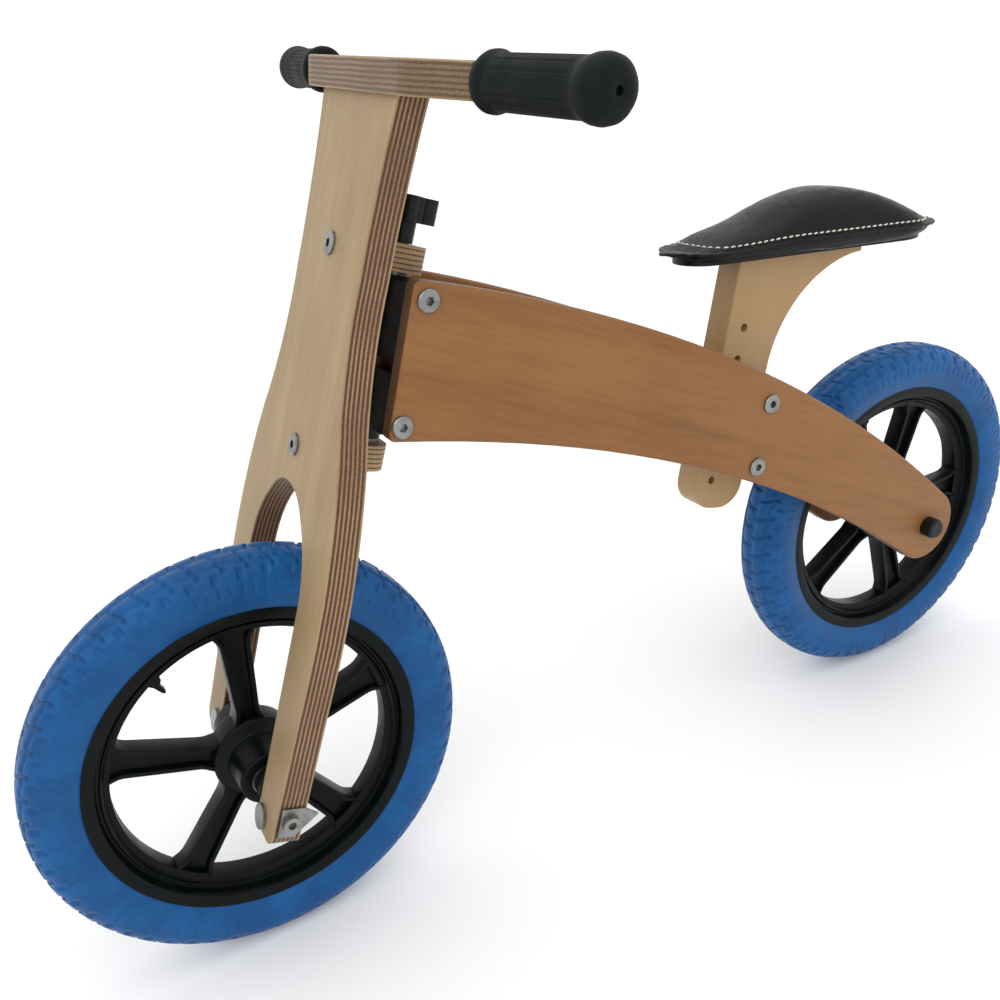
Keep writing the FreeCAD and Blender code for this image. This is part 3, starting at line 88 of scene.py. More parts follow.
class Paint:
    """A material's node tree, with short calls for the nodes used here."""

    def __init__(self, name, roughness=0.5, **shader):
        self.material = bpy.data.materials.new(name)
        self.material.use_nodes = True
        self.tree = self.material.node_tree
        self.shader = self.tree.nodes["Principled BSDF"]
        self.shader.inputs["Roughness"].default_value = roughness
        for socket, value in shader.items():
            self.shader.inputs[socket.replace("_", " ")].default_value = value

    def add(self, kind, inputs=(), **settings):
        """Add a node; inputs are (socket, value or output) pairs."""
        node = self.tree.nodes.new(kind)
        for name, value in settings.items():
            setattr(node, name, value)
        for socket, value in inputs:
            if isinstance(value, bpy.types.NodeSocket):
                self.tree.links.new(value, node.inputs[socket])
            else:
                node.inputs[socket].default_value = value
        return node

    def math(self, operation, first, second):
        """The result of one Math node."""
        node = self.add("ShaderNodeMath", [(0, first), (1, second)], operation=operation)
        return node.outputs[0]

    def position(self, tilt=0.0, stretch=(1, 1, 1), roll=0.0):
        """Object coordinates, leaned about Y and rolled about X, then stretched."""
        coordinates = self.add("ShaderNodeTexCoord").outputs["Object"]
        if tilt:
            coordinates = self.add("ShaderNodeVectorRotate", [(0, coordinates), (3, tilt)],
                                   rotation_type="Y_AXIS").outputs[0]
        if roll:
            coordinates = self.add("ShaderNodeVectorRotate", [(0, coordinates), (3, roll)],
                                   rotation_type="X_AXIS").outputs[0]
        if stretch == (1, 1, 1):
            return coordinates
        return self.add("ShaderNodeMapping", [(0, coordinates), ("Scale", stretch)]).outputs[0]

    def noise(self, vector, scale, detail=3.0, roughness=0.5, distortion=0.0):
        """The value of a noise texture, from about 0.3 to 0.7."""
        return self.add("ShaderNodeTexNoise",
                        [("Vector", vector), ("Scale", scale), ("Detail", detail),
                         ("Roughness", roughness), ("Distortion", distortion)]).outputs[0]

    def range(self, value, low, high, out_low=0.0, out_high=1.0):
        """Map low..high to out_low..out_high, clamped and smooth."""
        return self.add("ShaderNodeMapRange",
                        [(0, value), (1, low), (2, high), (3, out_low), (4, out_high)],
                        interpolation_type="SMOOTHSTEP").outputs[0]

    def mix(self, share, first, second, blend="MIX"):
        """Mix two colours."""
        node = self.add("ShaderNodeMix", data_type="RGBA", blend_type=blend)
        for socket, value in ((0, share), (6, first), (7, second)):
            if isinstance(value, bpy.types.NodeSocket):
                self.tree.links.new(value, node.inputs[socket])
            elif socket == 0:
                node.inputs[socket].default_value = value
            else:
                node.inputs[socket].default_value = (*value, 1)
        return node.outputs[2]

    def split(self, vector):
        """The x, y and z of a vector."""
        return self.add("ShaderNodeSeparateXYZ", [(0, vector)]).outputs

    def colour(self, output):
        """Drive the base colour."""
        self.tree.links.new(output, self.shader.inputs["Base Color"])

    def shine(self, output):
        """Drive the roughness."""
        self.tree.links.new(output, self.shader.inputs["Roughness"])

    def bump(self, *heights):
        """Stack bump maps: each is (height output, strength, distance)."""
        normal = None
        for height, strength, distance in heights:
            node = self.add("ShaderNodeBump", [("Height", height), ("Strength", strength),
                                               ("Distance", distance)])
            if normal is not None:
                self.tree.links.new(normal, node.inputs["Normal"])
            normal = node.outputs[0]
        self.tree.links.new(normal, self.shader.inputs["Normal"])


def wood_grain(paint, tilt, along, light, dark, streak=1.0):
    """Colour and height of a lacquered wood face with its grain along one axis."""
    stretch = [1.0, 1.0, 1.0]
    stretch[along] = 0.07
    place = paint.position(tilt, stretch=tuple(stretch))
    bands = paint.noise(place, 26, 4, 0.55, 0.6)
    fine = paint.noise(place, 330, 5, 0.65)
    stretch[along] = 0.03
    pores = paint.noise(paint.position(tilt, stretch=tuple(stretch)), 900, 2, 0.6)
    blush = paint.noise(paint.position(tilt), 9, 2)
    share = paint.math("ADD", paint.range(bands, 0.36, 0.66, 0, 0.55 * streak),
                       paint.range(fine, 0.4, 0.68, 0, 0.35 * streak))
    share = paint.math("ADD", share, paint.range(blush, 0.35, 0.65, -0.12, 0.16))
    share = paint.math("ADD", share, paint.range(pores, 0.6, 0.74, 0, 0.35 * streak))
    return paint.mix(share, light, dark), fine, pores


def plain_wood(name, tilt, along, light, dark, streak=1.0):
    """Solid wood under satin lacquer."""
    paint = Paint(name, 0.42, Coat_Weight=0.12, Coat_Roughness=0.3, Specular_IOR_Level=0.3)
    colour, fine, pores = wood_grain(paint, tilt, along, light, dark, streak)
    paint.colour(colour)
    paint.shine(paint.range(fine, 0.3, 0.7, 0.36, 0.5))
    paint.bump((fine, 0.12, 0.0002), (pores, 0.1, 0.0002))
    return paint.material


def plywood(name, node, tilt, across, along, plies, face, edge, roll=0.0):
    """Plywood: a grained face, and its plies in light and dark lines round the edges.

    face is the light and dark of the grain; edge is the light and dark of the plies and the
    share of the edge that is dark.
    """
    low, high = leaned_box(node, Matrix.Rotation(roll, 4, "X") @ leaned(tilt))
    light_ply, dark_ply, dark_share = edge
    paint = Paint(name, 0.45, Coat_Weight=0.12, Coat_Roughness=0.35, Specular_IOR_Level=0.3)
    colour, fine, pores = wood_grain(paint, tilt, along, *face, 0.8)
    place = paint.position(tilt, roll=roll)
    depth = paint.split(place)[across]
    waver = paint.noise(place, 34, 1)
    thickness = high[across] - low[across]
    layer = paint.math("MULTIPLY", paint.math("SUBTRACT", depth, low[across]),
                       plies / thickness)
    layer = paint.math("ADD", layer, paint.range(waver, 0.3, 0.7, -0.1, 0.1))
    wave = paint.math("PINGPONG", paint.math("SUBTRACT", layer, 0.5), 1.0)
    cross = paint.range(wave, 0.85 - dark_share, 1.15 - dark_share)
    inside = paint.math("MULTIPLY",
                        paint.math("GREATER_THAN", layer, 0.6),
                        paint.math("LESS_THAN", layer, plies - 0.6))
    speckle = paint.noise(place, 700, 4, 0.7)
    patch = paint.noise(place, 18, 3)
    light = paint.mix(paint.range(speckle, 0.35, 0.7), light_ply,
                      tuple(value * 0.72 for value in light_ply))
    dark = paint.mix(paint.range(speckle, 0.3, 0.65), dark_ply,
                     tuple(value * 0.6 for value in dark_ply))
    plies_seen = paint.mix(cross, light, dark)
    plies_seen = paint.mix(paint.range(patch, 0.4, 0.65, 0, 0.35), plies_seen, dark)
    paint.colour(paint.mix(inside, colour, plies_seen))
    paint.shine(paint.range(speckle, 0.3, 0.7, 0.4, 0.58))
    paint.bump((fine, 0.1, 0.0002), (paint.math("MULTIPLY", cross, inside), 0.25, 0.0002))
    return paint.material


def moulded(name, colour, roughness=0.4, scale=900, wear=0.6, gloss=0.3):
    """Moulded plastic: a fine spark-eroded skin with slight scuffs."""
    paint = Paint(name, roughness, Specular_IOR_Level=gloss)
    skin = paint.noise(paint.position(), scale, 2, 0.6)
    scuff = paint.noise(paint.position(), 45, 6, 0.7)
    lighter = tuple(min(1, value * (1 + wear) + 0.001) for value in colour)
    paint.colour(paint.mix(paint.range(scuff, 0.5, 0.75), colour, lighter))
    paint.shine(paint.range(scuff, 0.35, 0.7, roughness - 0.06, roughness + 0.12))
    paint.bump((skin, 0.15, 0.0001))
    return paint.material


def metal(name, colour, roughness=0.3, scale=400):
    """Plated steel or brass, with fine turning marks and dull patches."""
    paint = Paint(name, roughness, Metallic=1.0)
    marks = paint.noise(paint.position(), scale, 3, 0.7)
    patch = paint.noise(paint.position(), 120, 3)
    darker = tuple(value * 0.72 for value in colour)
    paint.colour(paint.mix(paint.range(patch, 0.4, 0.7), colour, darker))
    paint.shine(paint.range(marks, 0.3, 0.7, roughness - 0.08, roughness + 0.14))
    paint.bump((marks, 0.08, 0.0001))
    return paint.material


def foam(name):
    """Blue foam rubber: closed skin, faint mottling and painted highlight spots."""
    paint = Paint(name, 0.42, Sheen_Weight=0.03, Sheen_Roughness=0.4, Specular_IOR_Level=0.22)
    mottle = paint.noise(paint.position(), 38, 5, 0.6)
    skin = paint.noise(paint.position(), 420, 3, 0.6)
    colour = paint.mix(paint.range(mottle, 0.35, 0.68), (0.0005, 0.060, 0.20),
                       (0.002, 0.085, 0.262))
    # Painted highlight: fine spots from the skin noise are mixed towards a lighter sky blue,
    # standing in for gloss reflections on the foam.
    paint.colour(paint.mix(paint.range(skin, 0.55, 0.8, 0, 0.25), colour, (0.01, 0.11, 0.31)))
    paint.shine(paint.range(mottle, 0.35, 0.7, 0.36, 0.5))
    paint.bump((mottle, 0.15, 0.0012), (skin, 0.2, 0.0003))
    return paint.material


def hide(name):
    """Black leather: pebbled grain with finer wrinkles."""
    paint = Paint(name, 0.34, Specular_IOR_Level=0.15)
    pebble = paint.add("ShaderNodeTexVoronoi",
                       [("Vector", paint.position()), ("Scale", 620.0)],
                       feature="DISTANCE_TO_EDGE").outputs["Distance"]
    crease = paint.noise(paint.position(), 150, 4, 0.65, 0.8)
    blush = paint.noise(paint.position(), 22, 3)
    paint.colour(paint.mix(paint.range(blush, 0.35, 0.7), (0.003, 0.0042, 0.004),
                           (0.006, 0.0075, 0.007)))
    paint.shine(paint.range(crease, 0.35, 0.7, 0.3, 0.46))
    paint.bump((paint.range(pebble, 0.0, 0.12), 0.2, 0.0002), (crease, 0.15, 0.0004))
    return paint.material


def thread(name):
    """Off-white twisted sewing thread."""
    paint = Paint(name, 0.8, Sheen_Weight=0.3)
    twist = paint.add("ShaderNodeTexWave", [("Vector", paint.position()), ("Scale", 900.0),
                                            ("Distortion", 2.0)]).outputs["Fac"]
    paint.colour(paint.mix(twist, (0.62, 0.58, 0.47), (0.80, 0.77, 0.68)))
    paint.bump((twist, 0.5, 0.0003))
    return paint.material


def studio_white(name, value):
    """The plain pale floor."""
    paint = Paint(name, 0.9)
    patch = paint.noise(paint.position(), 3, 2)
    paint.colour(paint.mix(paint.range(patch, 0.3, 0.7), (value, value, value),
                           (value - 0.01, value - 0.01, value - 0.01)))
    return paint.material


BIRCH = ((0.345, 0.245, 0.122), (0.235, 0.152, 0.070))
HONEY = ((0.245, 0.108, 0.028), (0.155, 0.058, 0.012))
BEECH = ((0.375, 0.235, 0.106), (0.30, 0.178, 0.074))
RED_PLIES = ((0.34, 0.21, 0.11), (0.105, 0.042, 0.018), 0.6)
GREY_PLIES = ((0.23, 0.15, 0.078), (0.125, 0.07, 0.034), 0.45)
PALE_PLIES = ((0.42, 0.285, 0.14), (0.11, 0.05, 0.02), 0.3)
HONEY_PLIES = ((0.20, 0.10, 0.042), (0.10, 0.042, 0.018), 0.55)

fork_wood = plywood("fork_plywood", "fork_plate", STEER_TILT, 0, 2, 13, BIRCH, RED_PLIES)
bar_wood = plywood("handlebar_plywood", "handlebar_board", BAR_TILT, 2, 1, 13, BIRCH,
                   GREY_PLIES, BAR_ROLL)
upper_block_wood = plywood("upper_block_plywood", "upper_head_block", STEER_TILT, 2, 1, 11,
                           BIRCH, PALE_PLIES)
lower_block_wood = plywood("lower_block_plywood", "lower_head_block", STEER_TILT, 2, 1, 11,
                           BIRCH, PALE_PLIES)
left_plate_wood = plywood("left_plate_plywood", "side_plate_left", PLATE_RISE, 1, 0, 9, HONEY,
                          HONEY_PLIES)
right_plate_wood = plywood("right_plate_plywood", "side_plate_right", PLATE_RISE, 1, 0, 9,
                           HONEY, HONEY_PLIES)
beech = plain_wood("post_beech", POST_TILT, 2, *BEECH, 0.5)
black_plastic = moulded("black_moulding", (0.004, 0.005, 0.005), 0.38, gloss=0.2)
rim_plastic = moulded("rim_moulding", (0.0015, 0.0028, 0.003), 0.36, gloss=0.12)
ring_plastic = moulded("brown_ring", (0.10, 0.04, 0.018), 0.45)
rubber = moulded("grip_rubber", (0.003, 0.005, 0.0055), 0.55, 1400, gloss=0.13)
bright = metal("plated_steel", (0.27, 0.28, 0.265), 0.32)
steel = metal("plain_steel", (0.22, 0.22, 0.22), 0.38)
brass = metal("insert_brass", (0.55, 0.38, 0.16), 0.32)
blue_foam = foam("blue_foam")
leather = hide("saddle_leather")
stitching = thread("saddle_thread")


def dress(material, *names):
    """Give CAD nodes a material."""
    for name in names:
        nodes[name].data.materials.clear()
        nodes[name].data.materials.append(material)


dress(beech, "seat_post", "seat_clamp_block_left", "seat_clamp_block_right")
dress(left_plate_wood, "side_plate_left")
dress(right_plate_wood, "side_plate_right")
dress(black_plastic, "head_housing_upper", "head_housing_lower", "saddle_board",
      "rear_axle_caps", "rear_axle_spacers", "front_axle_spacers", "steering_knob")
dress(ring_plastic, "head_spacer_ring")
dress(bright, "head_screws", "seat_bolts", "seat_sleeve_nuts", "head_block_screws",
      "handlebar_screws", "front_axle_screws", "foot_bolts", "foot_nuts", "axle_tabs")
dress(steel, "rear_axle", "front_axle", "rear_axle_nuts", "front_hub_bearings",
      "rear_hub_bearings", "steering_pin", "thrust_washers", "saddle_screws")
dress(brass, "head_inserts", "head_block_inserts", "knob_insert")
dress(bar_wood, "handlebar_board")
dress(upper_block_wood, "upper_head_block")
dress(lower_block_wood, "lower_head_block")
dress(fork_wood, "fork_plate")


# ---------------------------------------------------------------------- mesh helpers

def smoothstep(value, low, high):
    """0 below low, 1 above high, smooth between."""
    share = min(1.0, max(0.0, (value - low) / (high - low)))
    return share * share * (3 - 2 * share)


def new_piece(name, verts, faces, material, body):
    """A smooth-shaded mesh object that rides on a body."""
    mesh = bpy.data.meshes.new(name)
    mesh.from_pydata(verts, [], faces)
    mesh.update()
    piece = bpy.data.objects.new(name, mesh)
    bpy.context.scene.collection.objects.link(piece)
    mesh.materials.append(material)
    mesh.polygons.foreach_set("use_smooth", [True] * len(mesh.polygons))
    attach(piece, body)
    return piece


def grid_faces(rows, columns, wrap_rows=False):
    """Quads of a grid of rows x columns vertices, closed across its columns."""
    faces = []
    for row in range(rows if wrap_rows else rows - 1):
        after = (row + 1) % rows
        for column in range(columns):
            right = (column + 1) % columns
            faces.append((row * columns + column, row * columns + right,
                          after * columns + right, after * columns + column))
    return faces


ROUNDING_STEPS = 2


def rounded(outline, radius):
    """A closed polygon of 2-D points with each corner rounded."""
    result = []
    count = len(outline)
    for index, corner in enumerate(outline):
        corner = Vector(corner)
        before = Vector(outline[index - 1]) - corner
        after = Vector(outline[(index + 1) % count]) - corner
        reach = min(radius, before.length * 0.45, after.length * 0.45)
        start = corner + before.normalized() * reach
        end = corner + after.normalized() * reach
        for step in range(ROUNDING_STEPS + 1):
            share = step / ROUNDING_STEPS
            result.append(start.lerp(corner, share).lerp(corner.lerp(end, share), share))
    return result


def spun(outline, segments, centre):
    """Vertices and faces of a closed (radius, y) outline turned about a hub's Y axis."""
    verts = []
    for row in range(segments):
        angle = 2 * math.pi * row / segments
        for radius, y in outline:
            verts.append((centre.x + radius * math.cos(angle), centre.y + y,
                          centre.z + radius * math.sin(angle)))
    return verts, grid_faces(segments, len(outline), wrap_rows=True)


def joined(name, parts, material, body):
    """One piece from several (verts, faces) lists."""
    verts = []
    faces = []
    for part_verts, part_faces in parts:
        start = len(verts)
        verts += part_verts
        faces += [tuple(start + index for index in face) for face in part_faces]
    piece = new_piece(name, verts, faces, material, body)
    bm = bmesh.new()
    bm.from_mesh(piece.data)
    bmesh.ops.recalc_face_normals(bm, faces=bm.faces)
    bm.to_mesh(piece.data)
    bm.free()
    return piece


def sharpen(piece, degrees):
    """Smooth shading that keeps edges sharper than an angle."""
    bm = bmesh.new()
    bm.from_mesh(piece.data)
    limit = math.radians(degrees)
    for edge in bm.edges:
        edge.smooth = not (len(edge.link_faces) == 2 and edge.calc_face_angle() > limit)
    bm.to_mesh(piece.data)
    bm.free()


# ----------------------------------------------------------------------------- tyres

TREAD_BLOCKS = 56
TREAD_DEPTH = 0.0021
TYRE_COLUMNS = 64
SHOULDER = 0.62
BEAD_HALF = 0.0165
tyre_low, tyre_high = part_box("front_tyre")
TYRE_RADIUS = (tyre_high.z - tyre_low.z) / 2
TYRE_HALF = (tyre_high.y - tyre_low.y) / 2
BEAD_RADIUS = 0.114
WALL_RADIUS = 0.131


def tyre_profile(share):
    """A point (radius, y) of the tyre's section: share runs from -1 to 1, bead to bead."""
    side = math.copysign(1, share)
    share = abs(share)
    if share > SHOULDER:
        down = (share - SHOULDER) / (1 - SHOULDER)
        y = TYRE_HALF - (TYRE_HALF - BEAD_HALF) * down ** 2.2
        return WALL_RADIUS - (WALL_RADIUS - BEAD_RADIUS) * down, side * y
    turn = math.pi / 2 * share / SHOULDER
    y = TYRE_HALF * math.sin(turn) ** 0.92 if turn > 0 else 0.0
    return WALL_RADIUS + (TYRE_RADIUS - WALL_RADIUS) * math.cos(turn) ** 0.8, side * y


def tread(turn, share):
    """Depth of the tread and the sidewall recesses at a turn (in blocks) and a share."""
    side = 0.0 if share > 0 else 0.5
    place = abs(share)
    phase = (turn + side) % 1.0
    shift = 0.28 * smoothstep(place, 0.06, 0.3)
    slot = abs((phase - shift) % 1.0 - 0.5)
    crown = smoothstep(slot, 0.40, 0.45) * (1 - smoothstep(place, 0.33, 0.38))
    centre = 1 - smoothstep(place, 0.02, 0.045)
    zigzag = abs((turn % 1.0) - 0.5) * 0.08
    rib = smoothstep(abs(place - 0.2 - zigzag), 0.015, 0.03)
    crown = max(crown, centre * 0.6, (1 - rib) * 0.7 if place < 0.36 else 0.0)
    notch_phase = abs((phase + 0.1) % 1.0 - 0.5)
    notch = smoothstep(notch_phase, 0.33, 0.39) * smoothstep(place, 0.33, 0.37) \
        * (1 - smoothstep(place, 0.47, 0.52))
    bracket_phase = abs((phase + 0.35) % 1.0 - 0.5)
    arm = smoothstep(bracket_phase, 0.17, 0.2) * (1 - smoothstep(bracket_phase, 0.27, 0.3)) \
        * smoothstep(place, 0.53, 0.55) * (1 - smoothstep(place, 0.66, 0.69))
    foot = (1 - smoothstep(bracket_phase, 0.27, 0.3)) * smoothstep(place, 0.53, 0.55) \
        * (1 - smoothstep(place, 0.57, 0.59))
    return TREAD_DEPTH * max(crown, notch * 0.75, 0.28 * max(arm, foot))


def tyre(name, node, centre, body):
    """A foam tyre with tread blocks, shoulder notches and sidewall recesses."""
    around = TREAD_BLOCKS * 18
    shares = [-1 + 2 * index / TYRE_COLUMNS for index in range(TYRE_COLUMNS + 1)]
    section = [tyre_profile(share) for share in shares]
    bead = [(BEAD_RADIUS, section[-1][1] * 0.5), (BEAD_RADIUS, section[0][1] * 0.5)]
    columns = len(section) + len(bead)
    normals = []
    for index in range(len(section)):
        before = Vector(section[max(index - 1, 0)])
        after = Vector(section[min(index + 1, len(section) - 1)])
        along = (after - before).normalized()
        normals.append(Vector((along.y, -along.x)))
    verts = []
    for row in range(around):
        angle = 2 * math.pi * row / around
        turn = row / around * TREAD_BLOCKS
        cosine, sine = math.cos(angle), math.sin(angle)
        for index, (radius, y) in enumerate(section):
            depth = tread(turn, shares[index])
            radius -= depth * normals[index].x
            y -= depth * normals[index].y
            verts.append((centre.x + radius * cosine, y, centre.z + radius * sine))
        for radius, y in bead:
            verts.append((centre.x + radius * cosine, y, centre.z + radius * sine))
    piece = joined(name, [(verts, grid_faces(around, columns, wrap_rows=True))], blue_foam,
                   body)
    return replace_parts(piece, node)


tyre("front_tread_tyre", "front_tyre", FRONT_HUB, "front_wheel")
tyre("rear_tread_tyre", "rear_tyre", REAR_HUB, "rear_wheel")


# ------------------------------------------------------------------------------ rims

SPOKES = 5
SPOKE_START = 0.025
SPOKE_END = 0.0975
SPOKE_STEPS = 26
SPOKE_WALL = 0.0032
SPOKE_WEB = 0.0042
STUB_HALF = 0.0022
BAND_SEGMENTS = 192
HUB_SEGMENTS = 72
FRONT_PHASE = math.radians(20)
REAR_PHASE = math.radians(38)


def mirrored(half):
    """A closed outline from its half at y >= 0, listed from the inside out."""
    return list(half) + [(radius, -y) for radius, y in reversed(half)]


def rim_band():
    """The rim: a flat outer band, a step with a raised line, and a thin inner ledge."""
    half = [(0.0950, 0.0062), (0.0985, 0.0068), (0.1000, 0.0092), (0.1006, 0.0112),
            (0.1016, 0.0112), (0.1022, 0.0094), (0.1042, 0.0094), (0.1050, 0.0122),
            (0.1056, 0.0158), (0.1138, 0.0166), (0.1146, 0.0158), (0.1146, 0.0100)]
    return rounded(mirrored(half), 0.0006)


def hub_body():
    """The hub: a long barrel with a flange and collars."""
    half = [(0.0065, 0.0290), (0.0110, 0.0290), (0.0110, 0.0360), (0.0175, 0.0360),
            (0.0185, 0.0345), (0.0190, 0.0200), (0.0205, 0.0120), (0.0270, 0.0100),
            (0.0290, 0.0085)]
    return rounded(mirrored(half), 0.001)


def spoke_section(width, thick, wall, web):
    """An H-shaped section: two walls joined by a thin web."""
    outer, inner = width / 2, width / 2 - wall
    half = [(outer, thick / 2), (inner, thick / 2), (inner - 0.0006, web / 2),
            (-inner + 0.0006, web / 2), (-inner, thick / 2), (-outer, thick / 2)]
    outline = half + [(across, -y) for across, y in reversed(half)]
    return rounded(outline, 0.0008)


def spoke(angle, centre):
    """One spoke, flared where it meets the hub and the rim."""
    verts = []
    for index in range(SPOKE_STEPS + 1):
        share = index / SPOKE_STEPS
        reach = SPOKE_START + (SPOKE_END - SPOKE_START) * share
        width = 0.0150 + 0.0060 * share
        width += 0.0090 * smoothstep(reach, 0.0830, SPOKE_END) ** 2
        width += 0.0060 * (1 - smoothstep(reach, 0.0260, 0.0400)) ** 2
        thick = 0.0150 - 0.0012 * share
        for across, y in spoke_section(width, thick, SPOKE_WALL, SPOKE_WEB):
            x = reach * math.cos(angle) - across * math.sin(angle)
            z = reach * math.sin(angle) + across * math.cos(angle)
            verts.append((centre.x + x, y, centre.z + z))
    columns = len(verts) // (SPOKE_STEPS + 1)
    return verts, grid_faces(SPOKE_STEPS + 1, columns)


def stub(angle, centre):
    """The moulded stub that points inward, with a wide foot."""
    outline = [(0.0965, -0.0060), (0.0935, -0.0032), (0.0900, -0.0018), (0.0825, -0.0013),
               (0.0810, 0.0000), (0.0825, 0.0013), (0.0880, 0.0018), (0.0900, 0.0050),
               (0.0925, 0.0056), (0.0965, 0.0060)]
    verts = []
    for y in (-STUB_HALF, STUB_HALF):
        for reach, across in outline:
            x = reach * math.cos(angle) - across * math.sin(angle)
            z = reach * math.sin(angle) + across * math.cos(angle)
            verts.append((centre.x + x, y, centre.z + z))
    count = len(outline)
    faces = grid_faces(2, count)
    faces += [tuple(range(count)), tuple(range(2 * count - 1, count - 1, -1))]
    return verts, faces


def rim(name, node, centre, phase, body):
    """The one-piece moulded wheel."""
    parts = [spun(rim_band(), BAND_SEGMENTS, centre), spun(hub_body(), HUB_SEGMENTS, centre)]
    for index in range(SPOKES):
        parts.append(spoke(phase + 2 * math.pi * index / SPOKES, centre))
    parts.append(stub(phase + math.pi / SPOKES, centre))
    piece = joined(name, parts, rim_plastic, body)
    sharpen(piece, 38)
    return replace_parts(piece, node)


rim("front_moulded_rim", "front_rim", FRONT_HUB, FRONT_PHASE, "front_wheel")
rim("rear_moulded_rim", "rear_rim", REAR_HUB, REAR_PHASE, "rear_wheel")


# ---------------------------------------------------------------------------- saddle

SADDLE_BACK = leaned(SADDLE_TILT).inverted()
CUSHION_LOW, CUSHION_HIGH = leaned_box("saddle_cushion", leaned(SADDLE_TILT))
NOSE_RADIUS = 0.029
TAIL_RADIUS = 0.047
BAND_SHARE = 0.9
CUSHION_COLUMNS = 96
SLACK = 0.0015
VOXEL = 0.005
PRESSURE = 4
SWELL_CAP = 0.004
SEAM_COLUMNS = 288
SEAM_TAB = 0.0050
STITCH_SAMPLES = 1200
STITCH_SPACING = 0.0052
STITCH_RADIUS = 0.00062
STITCH_RISE = 0.0034
STITCH_REACH = 0.03
HELD_MARGIN = 0.0015
CLOTH_FRAMES = 20
CROWN_BACK = 0.100
NOSE_X = CUSHION_HIGH.x - NOSE_RADIUS
TAIL_X = CUSHION_LOW.x + TAIL_RADIUS
CROWN_X = CUSHION_LOW.x + CROWN_BACK
FLOOR_Z = leaned_box("saddle_board", leaned(SADDLE_TILT))[0].z


def hull_point(share):
    """A point of the saddle's outline: share runs 0..1, anticlockwise from the nose tip."""
    length = NOSE_X - TAIL_X
    lean = math.asin((TAIL_RADIUS - NOSE_RADIUS) / length)
    side = length * math.cos(lean)
    nose_arc = NOSE_RADIUS * (math.pi / 2 - lean)
    tail_arc = TAIL_RADIUS * (math.pi / 2 + lean)
    half = nose_arc + side + tail_arc
    mirror = share > 0.5
    run = (1 - share if mirror else share) * 2 * half
    if run < nose_arc:
        turn = run / NOSE_RADIUS
        x, y = NOSE_X + NOSE_RADIUS * math.cos(turn), NOSE_RADIUS * math.sin(turn)
    elif run < nose_arc + side:
        turn = math.pi / 2 - lean
        run -= nose_arc
        x = NOSE_X + NOSE_RADIUS * math.cos(turn) - run * math.cos(lean)
        y = NOSE_RADIUS * math.sin(turn) + run * math.sin(lean)
    else:
        turn = math.pi / 2 - lean + (run - nose_arc - side) / TAIL_RADIUS
        x, y = TAIL_X + TAIL_RADIUS * math.cos(turn), TAIL_RADIUS * math.sin(turn)
    return x, (-y if mirror else y)


def crown_height(x):
    """Height of the saddle's crown over its middle line: hollow ahead, with a full nose."""
    ahead = x > CROWN_X
    reach = CUSHION_HIGH.x - CROWN_X if ahead else CROWN_X - CUSHION_LOW.x
    away = min(abs(x - CROWN_X) / reach, 1.0)
    fall = (1 - away ** 2) ** (1.4 if ahead else 0.7)
    if ahead:
        from_tip = 1 - away
        fall += 0.2 * smoothstep(from_tip, 0.0, 0.15) * (1 - smoothstep(from_tip, 0.2, 0.5))
    return (CUSHION_HIGH.z - FLOOR_Z) * fall


def seam_height(x):
    """Height of the seam over the saddle board's underside."""
    share = (x - CUSHION_LOW.x) / (CUSHION_HIGH.x - CUSHION_LOW.x)
    return 0.0108 + 0.0012 * smoothstep(share, 0.0, 0.3) - 0.0030 * smoothstep(share, 0.6, 0.9)


def to_world(x, y, z):
    """From the saddle's leaned frame to the model's."""
    return SADDLE_BACK @ Vector((x, y, z))


def cushion_form():
    """Rings of the saddle's skin, from the underside, round the seam, to the crown.

    It is cut lower by SLACK, before it is stuffed.
    """
    rings = [("under", share) for share in (0.12, 0.4, 0.7, 0.9)]
    rings += [("band", share) for share in (0.0, 0.5, 1.0)]
    rings += [("top", share) for share in (0.97, 0.9, 0.8, 0.68, 0.54, 0.38, 0.22, 0.08)]
    middle = (NOSE_X + TAIL_X) / 2
    verts = []
    for kind, share in rings:
        for column in range(CUSHION_COLUMNS):
            x, y = hull_point(column / CUSHION_COLUMNS)
            if kind == "under":
                spread, z = share * BAND_SHARE, 0.001
            elif kind == "band":
                spread = BAND_SHARE + (1 - BAND_SHARE) * math.sin(share * math.pi / 2)
                z = 0.002 + (seam_height(x) - 0.002) * share
            else:
                spread = share
                px = middle + (x - middle) * spread
                swell = (1 - share ** 2.6) ** 0.62
                rise = max(crown_height(px) - seam_height(px) - SLACK, 0)
                z = seam_height(px) + rise * swell
            verts.append(to_world(middle + (x - middle) * spread, y * spread, FLOOR_Z + z))
    faces = grid_faces(len(rings), CUSHION_COLUMNS)
    faces.append(tuple(range(CUSHION_COLUMNS - 1, -1, -1)))
    last = (len(rings) - 1) * CUSHION_COLUMNS
    faces.append(tuple(range(last, last + CUSHION_COLUMNS)))
    return verts, faces


def worked(piece):
    """Put a piece's evaluated shape into its own mesh and drop its modifiers."""
    shape = piece.evaluated_get(bpy.context.evaluated_depsgraph_get())
    mesh = bpy.data.meshes.new_from_object(shape)
    piece.modifiers.clear()
    piece.data = mesh


